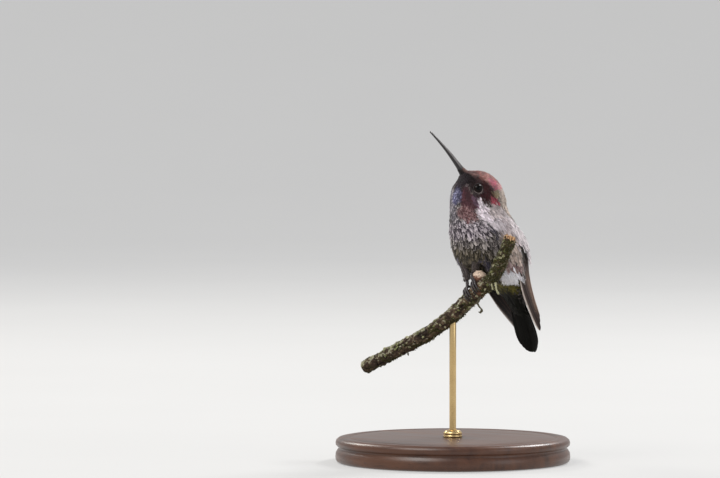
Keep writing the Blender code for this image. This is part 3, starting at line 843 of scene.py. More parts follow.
coatShape = {
    # station: gap between rows, gap between feathers, length, half width
    "gaps": [(0.0, 0.36, 0.38, 1.05, 0.30), (2.0, 0.42, 0.45, 1.25, 0.35), (4.0, 0.50, 0.54, 1.55, 0.41),
             (6.0, 0.68, 0.72, 2.2, 0.54), (8.0, 0.92, 0.88, 3.2, 0.62), (10.0, 1.06, 0.98, 3.7, 0.68),
             (13.0, 1.12, 1.02, 4.0, 0.76), (15.0, 1.2, 1.0, 4.6, 0.84), (16.0, 1.3, 0.95, 5.0, 0.9)],
    "jitter": 0.32,
    "swing": math.radians(7.0),
    "lengths": (0.82, 1.2), "widths": (0.85, 1.2),
    "curl": (-0.12, 0.1), "ruffled": 0.05, "ruffle": (0.2, 0.6), "roll": 0.18,
    # depths of root and tip in shares of the coat, and how much of them is left over a wing
    "rootDepth": (0.8, 1.05), "tipDepth": (0.0, 0.25), "overWing": (0.25, 0.4), "camber": 0.12,
    "light": (0.66, 1.3), "fringeLight": (0.74, 1.14),
    "mottle": 0.5, "mottleSize": 2.4, "mottleRun": (1.0, 1.0, 0.5),
    "speckle": 0.72, "speckled": (108, 132), "tossed": (0.15, 0.7),
    # where the paint of a feather is read: scatter in stations and in degrees, looser on the body
    "scatter": (0.17, 3.6), "looser": (5.0, 8.0), "seenAt": 5,
    # raised patches: height, stations where they begin and end, then degrees
    "puff": (0.85, (8.2, 9.3), (11.6, 12.6), (8, 32), (60, 84)), "puffRoots": 0.4,
    "rumpLift": (0.7, (14.6, 15.8), (60, 74)),
    # feathers of the shoulder and the flank lie over the wing up to a station at each angle
    "overSides": (12, 112), "overStart": 6.2,
    "overDegrees": [12, 44, 50, 62, 70, 80, 86, 112],
    "overStations": [9.4, 10.2, 11.3, 11.4, 10.0, 9.4, 12.2, 12.4],
    "hiddenUnder": 0.6, "wingEnd": (12.2, 14.0, 80, 100),
    # the flank's feathers sweep down off the wing
    "sweep": (-0.12, (7.6, 9.5), (12, 13.2), (76, 92), (112, 135)),
}
smallVane = vaneTemplate(6, 2, 0.3)
throatVane = vaneTemplate(9, 2, 0.22, 0.2, 0.62, 3.2)
bodyVane = vaneTemplate(11, 2, 0.22, 0.22, 0.62, 3.0)
downTone = tone(74, 70, 72)

coatPieces = {
    # stations from and to, degrees from the back from and to, vane, look, share of the length;
    # a feather belongs to the last piece that it fits
    "breast_feathers": (-1.0, 17.0, -1, 181, bodyVane, "soft_plumage", 1.0),
    "belly_feathers": (10.6, 17.0, 118, 181, bodyVane, "soft_plumage", 1.0),
    "undertail_coverts": (13.3, 17.0, 70, 181, bodyVane, "soft_plumage", 1.0),
    "throat_feathers": (-1.0, 7.2, 96, 181, throatVane, "shining_plumage", 0.85),
    "chin_feathers": (-1.0, 2.0, 96, 181, smallVane, "soft_plumage", 1.0),
    "cheek_feathers": (-1.0, 7.2, -1, 96, throatVane, "soft_plumage", 1.0),
    "crown_feathers": (-1.0, 5.3, -1, 62, smallVane, "shining_plumage", 0.8),
    "nape_feathers": (5.3, 8.2, -1, 68, bodyVane, "soft_plumage", 1.0),
    "flank_feathers": (7.2, 13.3, 84, 118, bodyVane, "soft_plumage", 1.25),
    "back_feathers": (8.2, 17.0, -1, 84, bodyVane, "bronze_plumage", 1.0),
    "rump_feathers": (13.3, 17.0, -1, 70, bodyVane, "bronze_plumage", 1.0),
}


def sizesAt(u):
    table = np.array(coatShape["gaps"])
    return [np.interp(u, table[:, 0], table[:, k]) for k in range(1, 5)]


def coatRoots():
    # a jittered lattice of roots from the bill to the tail
    found, u, odd = [], 0.12, 0
    while u < bodyShape["lastBody"] - 0.1:
        rowGap, gap, _, _ = sizesAt(u)
        ring = readSurface(body, np.full(60, u), anglesOf(60))
        around = np.linalg.norm(ring["stepV"], axis=1).mean() * fullTurn
        count = max(int(around / gap), 8)
        places = (np.arange(count) + 0.5 * odd) / count * fullTurn
        drift = coatShape["jitter"] * fullTurn / count
        step = rowGap / np.linalg.norm(ring["stepU"], axis=1).mean()
        jitter = rng.uniform(-1, 1, (2, count)) * [[coatShape["jitter"] * step], [drift]]
        found.append(np.stack([u + jitter[0], places + jitter[1]], 1))
        u, odd = u + step, 1 - odd
    return join(found)


def aroundEyes(u, v, turn):
    # keeps the openings of the eyes clear and combs the feathers beside them round the rim
    found = readSurface(body, u, v)
    keep = np.ones(len(u), bool)
    ahead = unit(found["stepU"])
    side = np.cross(ahead, found["out"])
    for place in eyes.values():
        away = found["points"] - place
        gap = np.linalg.norm(away, axis=1)
        keep &= gap > eyeOpening["clear"]
        near = 1 - ramp(gap, eyeOpening["clear"], eyeOpening["guard"])
        outward = unit(away - found["out"] * (away * found["out"]).sum(1, keepdims=True))
        way = roundWay(ahead, side, turn)
        inward = np.minimum((way * outward).sum(1), 0)
        bent = unit(way - outward * (inward * eyeOpening["comb"] * near)[:, None])
        turn = np.arctan2((bent * side).sum(1), (bent * ahead).sum(1))
    return keep, turn


def pieceOf(u, degrees):
    # the name of the coat piece that each feather belongs to
    names = np.full(len(u), "", dtype=object)
    for name, (first, last, low, high, *_) in coatPieces.items():
        names[(u > first) & (u <= last) & (degrees > low) & (degrees <= high)] = name
    return names


def readPaint(path, u):
    # centre and fringe colours seen part of the way along each shaft, mottled by clumps
    n = len(u)
    fray = rng.normal(0, 1, (2, n)) * (0.4 + 0.6 * ramp(u, *coatShape["looser"]))
    drift, swing = coatShape["scatter"]
    seen = path + np.stack([fray[0] * drift, np.radians(fray[1] * swing)], 1)
    return paintAt(seen[:, 0], seen[:, 1])


def mottled(centre, fringe, points, degrees):
    # clumps of lighter and darker feathers, and below the cheeks some all pale or all dark
    shape, n = coatShape, len(centre)
    spot = points.mean(1) * shape["mottleRun"]
    cluster = 1 + shape["mottle"] * ripple(spot, shape["mottleSize"], 5)[:, None]
    light = rng.uniform(*shape["light"], (n, 1)) * cluster
    centre = centre * light
    fringe = fringe * rng.uniform(*shape["fringeLight"], (n, 1)) * cluster**0.7
    strength = shape["speckle"] * ramp(degrees, *shape["speckled"])[:, None]
    toss = rng.uniform(-1, 1, (n, 1))
    pale, dim = ramp(toss, *shape["tossed"]) * strength, ramp(-toss, *shape["tossed"]) * strength
    return centre + (fringe - centre) * pale, fringe + (centre - fringe) * dim


def layCoatPiece(name, u, v, turn, over, length, width):
    # one piece of the coat, with a line of numbers about it
    shape, n = coatShape, len(u)
    *_, template, look, longer = coatPieces[name]
    degrees, tall = fromBack(v), coatDepth(u)
    spines = spinesOn(body, u, v, turn, length * longer)
    ruffle = np.where(rng.random(n) < shape["ruffled"], rng.uniform(*shape["ruffle"], n), 0)
    curl = rng.uniform(*shape["curl"], n) * tall + ruffle * tall
    roll = rng.uniform(-shape["roll"], shape["roll"], n) * tall
    low = -tall * rng.uniform(*shape["rootDepth"], n) * np.where(over, shape["overWing"][0], 1.0)
    high = -tall * rng.uniform(*shape["tipDepth"], n) * np.where(over, shape["overWing"][1], 1.0)
    height, rise, fall, riseSide, fallSide = shape["puff"]
    puff = height * band(u, rise, fall) * band(degrees, riseSide, fallSide)
    height, rise, fallSide = shape["rumpLift"]
    high = high + puff + height * ramp(u, *rise) * (1 - ramp(degrees, *fallSide))
    low = low + shape["puffRoots"] * puff
    points = layVanes(body, spines, template, width, low, high, shape["camber"] * tall.mean(),
                      curl, roll, bedShare=np.where(over, 0.0, 1.0))
    centre, fringe = readPaint(spines[:, shape["seenAt"]], u)
    centre, fringe = mottled(centre, fringe, points, degrees)
    colours = vaneColours(template, centre, fringe, downTone, 0.5)
    bake = patchPlaces(template, np.mod(v / fullTurn, 1), u / bodyShape["lastBody"])
    vanePiece(name, look, points, template, colours, bake)
    triangles = n * (2 * len(template["quads"]) + len(template["tris"]))
    print(name, n, "feathers", triangles, "triangles")


def makeCoat():
    shape = coatShape
    u, v = coatRoots().T
    degrees = fromBack(v)
    # those right under a wing are left out
    low, high = shape["overSides"]
    over = (degrees > low) & (degrees < high) & (u > shape["overStart"])
    over &= u < np.interp(degrees, shape["overDegrees"], shape["overStations"])
    under = readSurface(body, u, v, ("wingOver",))["wingOver"][:, 0] > shape["hiddenUnder"]
    turn = rng.normal(0, shape["swing"], len(u))
    sweep, rise, fall, riseSide, fallSide = shape["sweep"]
    sweep = sweep * band(u, rise, fall) * band(degrees, riseSide, fallSide)
    turn = turn + np.where(np.mod(v, fullTurn) < math.pi, 1, -1) * sweep
    keep, turn = aroundEyes(u, v, turn)
    first, last, low, high = shape["wingEnd"]
    keep &= ~(under & ~over) & ~((u > first) & (u < last) & (degrees > low) & (degrees < high))
    u, v, degrees, turn, over = u[keep], v[keep], degrees[keep], turn[keep], over[keep]
    _, _, length, width = sizesAt(u)
    length = length * rng.uniform(*shape["lengths"], len(u))
    width = width * rng.uniform(*shape["widths"], len(u))
    names = pieceOf(u, degrees)
    for name in sorted(coatPieces):
        pick = names == name
        layCoatPiece(name, u[pick], v[pick], turn[pick], over[pick], length[pick], width[pick])


makeCoat()

fluffShape = {"count": 700, "station": (11.95, 13.0), "degrees": (103, 138), "length": (2.2, 4.2),
              "width": (0.12, 0.3), "swing": 0.22, "low": -0.5, "high": (0.0, 0.5), "curl": (-0.4, 0.3),
              "light": (0.74, 1.12), "centre": tone(240, 238, 244), "fringe": tone(254, 253, 255)}
fluffVane = vaneTemplate(9, 1, 0.55, 0.3, 0.8, 2.0)


def makeFluff():
    # loose white down beside the vent, long soft plumes that stand off a little
    shape = fluffShape
    n = shape["count"]
    u = rng.uniform(*shape["station"], n)
    degrees = rng.uniform(*shape["degrees"], n)
    v = np.radians(np.where(rng.random(n) < 0.5, degrees, 360 - degrees))
    length = rng.uniform(*shape["length"], n)
    spines = spinesOn(body, u, v, rng.normal(0, shape["swing"], n), length)
    high = rng.uniform(*shape["high"], n)
    width = rng.uniform(*shape["width"], n)
    points = layVanes(body, spines, fluffVane, width, shape["low"], high, 0.1,
                      rng.uniform(*shape["curl"], n), thick=0.03)
    light = rng.uniform(*shape["light"], (n, 1))
    centre, fringe = shape["centre"] * light, shape["fringe"] * light
    colours = vaneColours(fluffVane, centre, fringe, downTone, 0.12)
    bake = patchPlaces(fluffVane, np.mod(v / fullTurn, 1), u / bodyShape["lastBody"])
    vanePiece("vent_down", "down_plumage", points, fluffVane, colours, bake)


billShape = {
    "base": (0.0, -5.6, 39.7), "raised": math.radians(50.0), "length": 18.0, "start": 0.6, "bury": -0.09,
    "halfHeight": (1.12, 0.28), "halfWidth": (1.4, 0.3), "taper": 1.3, "arch": 0.4,
    "tipFrom": 0.965, "ridge": 0.07, "lowerHeight": 0.92, "lowerWidth": 0.93,
    # the groove of the nostril: depth, place along the bill, reach, place up the side, reach
    "groove": (0.12, 0.1, 0.07, 0.42, 0.16),
    # the cutting edge drawn in: depth, place up the side, reach
    "edge": (0.05, 0.08, 0.1),
    "gape": 0.03, "flat": 0.14, "rows": 110, "sides": 28,
    # black horn with a painted grey highlight, the sky's reflection, along the upper half but less on its
    # ridge
    "dark": tone(18, 17, 19), "wornAndGlint": tone(140, 135, 134), "end": tone(26, 25, 28), "glintFrom": (0.0, 0.14),
    "least": 0.08, "glint": 0.62, "ridgeGlint": 0.3, "lowerGlint": 0.04,
}
rootShape = {"rows": 16, "columns": 48, "start": 1.9, "back": 2.9, "halfWidth": (1.28, 0.7),
             "halfHeight": (1.02, 0.5), "feathered": (0.0, 0.75, 7), "fewest": 15,
             # furthest out above and below
             "reach": 0.3, "overlap": 0.3, "stray": (0.03, 0.08), "high": 0.16, "light": (0.8, 1.2),
             "fringe": 1.3, "swing": 0.1, "length": (0.8, 1.15), "width": (0.19, 0.27),
             "dark": tone(28, 22, 23), "above": tone(112, 86, 80), "aboveFrom": (0.35, 0.75)}


def billAxes():
    # the root of the bill, its way out and the way up from it, before the head is turned
    raised = billShape["raised"]
    out = np.array([0, -math.cos(raised), math.sin(raised)])
    return np.array(billShape["base"]), out, np.array([0, math.sin(raised), math.cos(raised)])


def makeBillFeathers():
    # tiny feathers that creep out over the root of the bill, pointing back to the face
    shape = rootShape
    base, direction, up = billAxes()
    share = np.linspace(0, 1, shape["rows"])[:, None]
    angle = anglesOf(shape["columns"])[None]
    centre = base + direction * (shape["start"] - shape["back"] * share)[..., None]
    wide, high = (first + more * share**1.5 for first, more in (shape["halfWidth"], shape["halfHeight"]))
    points = centre + up * (high * np.cos(angle))[..., None]
    points[..., 0] += wide * np.sin(angle)
    surface = surfaceFrom(turnedHead(points, bodyShape["headTurn"]), (1.0, fullTurn), True)
    faceOut(surface)
    u, v = [], []
    strayU, strayV = shape["stray"]
    for row, at in enumerate(np.linspace(*shape["feathered"])):
        count = shape["fewest"] + row
        places = (np.arange(count) + 0.5 * (row % 2)) / count * fullTurn
        reach = shape["reach"] * (0.5 + 0.5 * np.cos(places * 2))
        u.append(at + shape["overlap"] - reach + rng.uniform(-strayU, strayU, count))
        v.append(places + rng.uniform(-strayV, strayV, count))
    u, v = join(u), join(v)
    n = len(u)
    turn = rng.normal(0, shape["swing"], n)
    spines = spinesOn(surface, u, v, turn, rng.uniform(*shape["length"], n))
    width = rng.uniform(*shape["width"], n)
    points = layVanes(surface, spines, smallVane, width, 0.0, shape["high"], 0.04, thick=0.03)
    above = ramp(0.5 + 0.5 * np.cos(v), *shape["aboveFrom"])[:, None]
    centre = mix(shape["dark"], shape["above"], above) * rng.uniform(*shape["light"], (n, 1))
    colours = vaneColours(smallVane, centre, centre * shape["fringe"], downTone, 0.2)
    bake = patchPlaces(smallVane, np.mod(0.02 + 0.9 * v / fullTurn, 1), np.mod(0.01 + 0.02 * u, 1))
    vanePiece("bill_root_feathers", "soft_plumage", points, smallVane, colours, bake)


makeFluff()
makeBillFeathers()
print("coat made")


def makeMandible(name, upper):
    shape = billShape
    rows, sides = shape["rows"], shape["sides"]
    base, direction, up = billAxes()
    share = shape["bury"] + (1 - shape["bury"]) * np.linspace(0, 1, rows)[:, None]
    angle = anglesOf(sides)[None]
    inside = np.clip(share, 0, 1)
    taper = 1 - (1 - inside) ** shape["taper"]
    tip = np.clip((inside - shape["tipFrom"]) / (1 - shape["tipFrom"]), 0, 1)
    tip = np.sqrt(np.clip(1 - tip**2, 0, 1))
    high, wide = (
        first + (last - first) * taper for first, last in (shape["halfHeight"], shape["halfWidth"]))
    high, wide = high * tip, wide * tip
    lift = np.cos(angle) if upper else -np.cos(angle)
    ridge = 1 + shape["ridge"] * np.clip(lift, 0, 1) ** 8
    height = high * np.where(lift > 0, lift * ridge, lift * shape["flat"])
    height = height * (1.0 if upper else shape["lowerHeight"]) + shape["gape"] * tip
    depth, place, reach, side, sideReach = shape["groove"]
    groove = np.exp(-((inside - place) / reach) ** 2) * np.exp(-((np.abs(lift) - side) / sideReach) ** 2)
    across = wide * np.sin(angle) * (1 - depth * groove) * (1.0 if upper else shape["lowerWidth"])
    depth, side, sideReach = shape["edge"]
    across = across * (1 - depth * np.exp(-((lift - side) / sideReach) ** 2))
    run = shape["start"] + shape["length"] * share
    bow = shape["arch"] * np.sin(np.pi * share) + (height if upper else -height)
    points = base + direction * run[..., None] + up * bow[..., None]
    points[..., 0] += across
    points = turnedHead(points, bodyShape["headTurn"])
    if upper:  # both halves run round the same way
        points, lift = points[:, ::-1], lift[:, ::-1]
    # painted highlight: the upper half is painted grey, less on its ridge; the lower half is painted only a
    # little grey
    if upper:
        glint = ramp(inside, *shape["glintFrom"]) * np.ones_like(lift)
        shade = shape["least"] + (shape["glint"] - shape["ridgeGlint"] * np.clip(lift, 0, 1)) * glint
    else:
        shade = np.full(points.shape[:2], shape["lowerGlint"])
    colours = mix(shape["dark"], shape["wornAndGlint"], shade[..., None]).reshape(-1, 3)
    colours = join([colours, [shape["end"]] * 2])
    made = makeObject(name, withEnds(points), solidFaces(rows, sides), looks["bill_horn"], colours)
    finishPiece(made, "bill_horn", "bill")


makeMandible("bill_upper", True)
makeMandible("bill_lower", False)

eyeShape = {"radius": 1.96, "bulge": (0.07, 0.55), "rows": 48, "sides": 64, "endAngle": 0.02,
            "pupil": (0.42, 0.47), "iris": (0.82, 1.0),
            "outerTone": (12, 9, 9), "irisTone": (26, 15, 11), "pupilTone": (4, 4, 5)}
lidShape = {"count": 102, "around": 12, "ring": 1.60, "radius": 0.125, "oval": 0.05, "lift": 0.04,
            "bumps": 34, "bump": 0.16, "paleTilt": 0.6,
            # the rim is pale behind the eye and under it
            "paleWays": (0.7, 0.9), "paleFrom": (0.1, 0.8), "least": 0.12,
            "dark": tone(24, 20, 21), "pale": tone(142, 127, 125)}


def eyeFrame(side):
    # centre of the ball, its way out of the head, and the way to the bill in that plane
    place = eyes[side]
    gap = np.linalg.norm(body["points"] - place, axis=-1)
    i, j = np.unravel_index(np.argmin(gap), gap.shape)
    axis = body["out"][i, j]
    ahead = unit(-body["stepU"][i, j])
    ahead = unit(ahead - axis * (ahead @ axis))
    return place, axis, ahead, np.cross(axis, ahead)


def makeEye(side):
    shape = eyeShape
    place, axis, ahead, up = eyeFrame(side)
    end = shape["endAngle"]
    theta = np.linspace(end, math.pi - end, shape["rows"])[:, None]
    phi = anglesOf(shape["sides"])[None]
    bulge, reach = shape["bulge"]
    radius = shape["radius"] + bulge * np.exp(-((theta / reach) ** 2))
    points = place + roundWay(axis, roundWay(ahead, up, phi), theta) * radius[..., None]
    iris, pupil = (1 - ramp(theta, *shape[part])[..., None] for part in ("iris", "pupil"))
    outer, irisTone, pupilTone = (tone(*shape[part]) for part in ("outerTone", "irisTone", "pupilTone"))
    colours = outer + (irisTone - outer) * iris
    colours = colours + (pupilTone - colours) * pupil
    colours = np.broadcast_to(colours, points.shape).reshape(-1, 3)
    colours = join([colours, colours[:1], colours[-1:]])
    faceSets = solidFaces(shape["rows"], shape["sides"])
    made = makeObject("eyeball_" + side, withEnds(points), faceSets, looks["eye_surface"], colours)
    finishPiece(made, "eye_surface", "eye_" + side)


def makeLid(side):
    # a bumpy fleshy ring round the opening of the eye
    shape = lidShape
    place, axis, ahead, up = eyeFrame(side)
    count, around = shape["count"], shape["around"]
    phi = anglesOf(count)[:, None]
    small = anglesOf(around)[None]
    wide = shape["ring"] * (1 + shape["oval"] * np.cos(phi) ** 2)
    depth = np.sqrt(eyeShape["radius"] ** 2 - shape["ring"] ** 2) + shape["lift"]
    ring = roundWay(ahead, up, phi)
    thick = shape["radius"] * (1 + shape["bump"] * np.sin(phi * shape["bumps"]))
    out = ring * (wide + thick * np.cos(small))[..., None]
    points = place + out + axis * (depth + thick * np.sin(small))[..., None]
    behind, under = shape["paleWays"]
    away = -ring @ ahead * behind - ring @ np.array([0.0, 0.0, 1.0]) * under
    pale = np.clip(np.sin(small + shape["paleTilt"]), 0, 1) ** 0.6
    pale = pale * (shape["least"] + (1 - shape["least"]) * ramp(away, *shape["paleFrom"]))
    dark = shape["dark"]
    colours = dark + (shape["pale"] - dark) * pale[..., None]
    quads = np.roll(hoopFaces(count, around)[:, ::-1], 1, 1)
    lid = makeObject("eyelid_" + side, points, [quads], looks["lid_skin"], colours)
    finishPiece(lid, "eye_surface")


for side in ("left", "right"):
    makeEye(side)
    makeLid(side)
print("bill and eyes made")


wingShape = {
    "leading": [(9.4, 1.4, 19.0), (11.4, 3.4, 14.2), (11.4, 7.6, 6.8), (9.6, 12.6, -0.8),
                (7.6, 19.0, -8.2), (5.55, 25.05, -14.1), (4.75, 29.2, -18.5)],
    "trailing": [(7.4, 9.0, 20.8), (8.2, 14.0, 16.8), (7.7, 18.4, 9.2), (6.7, 20.6, 1.6),
                 (6.0, 25.2, -7.0), (5.7, 28.5, -12.3), (5.0, 32.0, -16.8)],
    "crown": 0.9, "rows": 73, "columns": 25, "smooth": 30,
    # where the blades run out past the solid: last steady share, ramp before it, rows compared, flare
    "steady": 0.72, "steadyRamp": 0.12, "compared": 6, "flare": 0.5, "flareFrom": 0.6,
    # primaries from the outermost: end along the wing, end across, half width, outer web share
    "primaries": [(0.99, 0.12, 2.0, 0.62), (0.905, 0.46, 2.1, 0.6), (0.86, 0.66, 2.2, 0.6),
                  (0.81, 0.75, 2.2, 0.6), (0.765, 0.80, 2.2, 0.6), (0.72, 0.83, 2.2, 0.65),
                  (0.68, 0.85, 2.2, 0.65), (0.64, 0.87, 2.1, 0.7), (0.60, 0.89, 2.1, 0.7),
                  (0.56, 0.90, 2.1, 0.7)],
    # coverts from the lowest row: start along the wing, count, length, half width, height
    "coverts": [(0.235, 13, 5.4, 0.78, -0.2), (0.20, 14, 4.2, 0.66, -0.16), (0.165, 15, 3.2, 0.6, -0.12),
                (0.135, 16, 2.6, 0.54, -0.08), (0.105, 16, 2.3, 0.52, -0.05), (0.08, 16, 2.1, 0.5, -0.02),
                (0.055, 16, 2.0, 0.5, 0.0), (0.03, 15, 1.9, 0.5, 0.02), (0.008, 15, 1.9, 0.5, 0.04)],
    "secondaries": [(0.53, 0.90, 2.0, 0.75), (0.49, 0.91, 1.9, 0.75), (0.455, 0.92, 1.9, 0.8),
                    (0.42, 0.93, 1.8, 0.8), (0.39, 0.94, 1.7, 0.8), (0.36, 0.95, 1.6, 0.8)],
}
flightVane = vaneTemplate(46, 4, 0.05, 0.02, 0.9, 9.0)
broadVane = vaneTemplate(34, 4, 0.06, 0.02, 0.9, 7.0)
covertVane = vaneTemplate(12, 2, 0.18, 0.14, 0.75, 3.0)


def smoothGrid(points, rounds):
    for _ in range(rounds):
        inner = (points[:-2, 1:-1] + points[2:, 1:-1] + points[1:-1, :-2] + points[1:-1, 2:]) / 4
        points[1:-1, 1:-1] = (points[1:-1, 1:-1] + inner) / 2
        for edge in (0, -1):
            points[1:-1, edge] = (points[:-2, edge] + 2 * points[1:-1, edge] + points[2:, edge]) / 4
    return points


def foundOn(tree, place, way):
    # the spot of a solid's surface at a place, along a way out or else the nearest one
    place, way = Vector(place), Vector(way)
    hit = tree.ray_cast(place + way * 6, -way, 12)[0]
    return tree.find_nearest(place + way * 0.8)[0] if hit is None else hit


def wingSurface(side):
    shape, sign = wingShape, 1 if side == "left" else -1
    tree = nodeTree("wing_" + side)
    u = np.linspace(0, 1, shape["rows"])
    v = np.linspace(0, 1, shape["columns"])[None, :, None]
    last = len(shape["leading"]) - 1
    lead, trail = (along(shape[edge], u * last)[:, None] for edge in ("leading", "trailing"))
    drawn = mix(lead, trail, v)
    drawn[..., 0] += shape["crown"] * np.sin(np.pi * v[..., 0]) * (1 - u[:, None])
    drawn[..., 0] *= sign
    out = surfaceFrom(drawn, (1.0, 1.0), False)["out"] * (-sign)
    points = np.array([[foundOn(tree, *pair) for pair in zip(*row)] for row in zip(drawn, out)])
    # there the sheet follows its drawn edges
    held = int(shape["steady"] * (shape["rows"] - 1))
    shift = (points - drawn)[held - shape["compared"]:held].mean((0, 1))
    share = ramp(u, shape["steady"] - shape["steadyRamp"], shape["steady"])[:, None, None]
    points = mix(points, drawn + shift, share)
    points = points + out * (shape["flare"] * ramp(u, shape["flareFrom"], 1.0))[:, None, None]
    surface = surfaceFrom(smoothGrid(points, shape["smooth"]), (1.0, 1.0), False)
    surface["out"] = surface["out"] * (-sign)
    return surface


def flightPaths(table, rootU, rootV, count=24):
    # shafts that run from the wrist, bunched, to their own ends across the wing
    s = np.linspace(0, 1, count)
    last = len(wingShape["primaries"]) - 1
    paths = []
    for q, (endU, endV, _, _) in enumerate(table):
        startU = rootU[0] + (rootU[1] - rootU[0]) * q / len(table)
        startV = rootV[0] + (rootV[1] - rootV[0]) * q / last
        paths.append(np.stack([startU + (endU - startU) * s, startV + (endV - startV) * s**1.15], -1))
    return np.stack(paths)


def flightColours(template, dark, edge, shaft, lead=1, lightEdge=0.0):
    # dark vanes with a paler rim and shaft; lightEdge is the strength of a pale leading web
    t, s = template["t"][None, :, None], template["s"][None, :, None]
    colour = mix(dark, edge, ramp(np.abs(t), 0.62, 1.0))
    colour = mix(colour, flightTones["lightEdge"], ramp(t * lead, 0.3, 0.7) * lightEdge)
    colour = mix(colour, shaft, (np.abs(t) < 0.05) * (1 - 0.6 * s))
    # the under sheet of each vane is painted half as bright, a painted shade on the undersides
    return colour * (1 - 0.5 * template["under"][None, :, None])


flightSets = {
    # wrist end of the roots: along from and to, across from and to; lowest level, step up, vane
    "primaries": ((0.10, 0.16), (0.10, 0.62), -0.84, 0.045, flightVane),
    "secondaries": ((0.14, 0.02), (0.62, 0.74), -0.40, 0.02, broadVane),
}
flightTones = {"dark": tone(34, 22, 20), "edge": tone(62, 44, 38), "shaft": tone(96, 76, 68),
               "lightEdge": tone(214, 200, 190),
               # the inner feathers are painted tan towards their ends, a painted sheen
               "sheenDark": tone(98, 74, 60), "sheenEdge": tone(166, 138, 118),
               "sheenFrom": (1.5, 4.0), "sheenReach": (0.38, 0.5)}


def mirrorVane(template):
    return {**template, "t": -template["t"], "width": -template["width"],
            "quads": template["quads"][:, ::-1], "tris": template["tris"][:, ::-1]}


def makeFlightSet(side, surface, kind):
    table = np.array(wingShape[kind])
    rootU, rootV, base, step, template = flightSets[kind]
    n, sign = len(table), 1 if side == "left" else -1
    paths = flightPaths(table, rootU, rootV)
    order = np.arange(n)
    level = base + step * order
    # the outer web lies on the leading side, which the vane's t meets on one hand only
    template = template if sign > 0 else mirrorVane(template)
    points = layVanes(surface, paths, template, table[:, 2], level - 0.1, level, 0.16, thick=0.07,
                      outerWeb=table[:, 3], leadingSide=sign, ridge=0.07)
    tint = rng.uniform(0.9, 1.12, (n, 1))[..., None]
    # a painted sheen: the inner feathers turn tan towards their ends
    reached = paths[:, :1, 0] + (paths[:, -1:, 0] - paths[:, :1, 0]) * template["s"]
    inner = ramp(order, *flightTones["sheenFrom"])[:, None] * ramp(reached, *flightTones["sheenReach"])
    dark, edge, sheenDark, sheenEdge, shaft = (
        flightTones[part] for part in ("dark", "edge", "sheenDark", "sheenEdge", "shaft"))
    dark = mix(dark, sheenDark, inner[..., None]) * tint
    edge = mix(edge, sheenEdge, inner[..., None]) * tint
    colours = flightColours(template, dark, edge, shaft)
    if kind == "primaries":  # the pale line down the leading edge of the outermost
        colours[0] = flightColours(template, dark, edge, shaft, sign, 1.0)[0]
    vanePiece(kind + "_" + side, "flight_plumage", points, template, colours,
              stripPlaces(template, n, 0.05), "flight_feathers", "wing_" + side)


def nearestPaint(points):
    # the body's own colours beside some points
    gap = np.linalg.norm(body["points"][None] - points[:, None, None], axis=-1).reshape(len(points), -1)
    i, j = np.unravel_index(gap.argmin(1), body["points"].shape[:2])
    station = np.minimum(i / bodyShape["perStation"], covertShape["lastStation"])
    return paintAt(station, j / bodyShape["columns"] * fullTurn)


covertShape = {"lean": 0.02, "swing": 0.07, "length": (0.9, 1.12), "sink": 0.25, "camber": 0.14,
               "curl": (-0.05, 0.12), "light": (0.85, 1.15), "lastStation": 10.8,
               # brown over the flight feathers, and painted shade along the leading edge, where the coverts
               # lie in shadow
               "brownFrom": (0.10, 0.2), "brown": tone(48, 40, 34), "brownFringe": tone(76, 66, 54),
               "shadowTo": (0.22, 0.42), "shadowFrom": (0.05, 0.12), "front": tone(26, 20, 23),
               "shadowFringe": tone(46, 36, 39)}


def makeCoverts(side, surface):
    # rows of coverts from the wrist down over the roots of the flight feathers
    shape, rows = covertShape, []
    for row, (u, count, length, width, level) in enumerate(wingShape["coverts"]):
        v = (np.arange(count) + 0.5 * (row % 2) + 0.2) / count
        u = u + shape["lean"] * v + rng.uniform(-0.008, 0.008, count)
        v = v + rng.uniform(-0.02, 0.02, count)
        rows.append(np.stack([u, v, *(np.full(count, value) for value in (length, width, level))], 1))
    u, v, length, width, level = join(rows).T
    n = len(u)
    turn = rng.normal(0, shape["swing"], n)
    spines = spinesOn(surface, u, v, turn, length * rng.uniform(*shape["length"], n))
    points = layVanes(surface, spines, covertVane, width, level - shape["sink"], level, shape["camber"],
                      rng.uniform(*shape["curl"], n))
    light = rng.uniform(*shape["light"], (n, 1))
    brown = ramp(u, *shape["brownFrom"])[:, None]
    # painted shade on the coverts along the leading edge of the wing
    front = (1 - ramp(v, *shape["shadowTo"]))[:, None] * ramp(u, *shape["shadowFrom"])[:, None]
    centre, fringe = nearestPaint(points[:, 0])
    centre = mix(mix(centre, shape["brown"], brown), shape["front"], front) * light
    fringe = mix(mix(fringe, shape["brownFringe"], brown), shape["shadowFringe"], front) * light
    colours = vaneColours(covertVane, centre, fringe, downTone, 0.4, 0.5)
    bake = patchPlaces(covertVane, 0.05 + 0.9 * v, 0.05 + 2.6 * u)
    vanePiece("wing_coverts_" + side, "bronze_plumage", points, covertVane, colours, bake)


def makeWing(side):
    surface = wingSurface(side)
    for kind in flightSets:
        makeFlightSet(side, surface, kind)
    makeCoverts(side, surface)


tailShape = {
    "line": [(25.8, -10.2), (27.7, -14.0), (29.5, -17.8), (31.1, -21.8), (32.3, -26.2)],
    "halfWidth": (4.6, 4.8), "taper": 0.42, "fold": 1.1, "foldRise": 0.35, "rounding": 0.24,
    "rows": 49, "columns": 41,
    # feathers from the middle outwards: place across, half width, level
    "feathers": [(0.13, 2.2, 0.0), (0.33, 2.1, -0.16), (0.52, 2.0, -0.3), (0.70, 1.9, -0.42),
                 (0.86, 1.7, -0.54)],
    "early": -0.25, "bunch": 0.75, "sink": 0.12, "tint": (0.9, 1.15),
    "middle": tone(38, 52, 32), "outer": tone(17, 18, 15), "edge": tone(24, 26, 20),
    "shaft": tone(52, 48, 40),
}


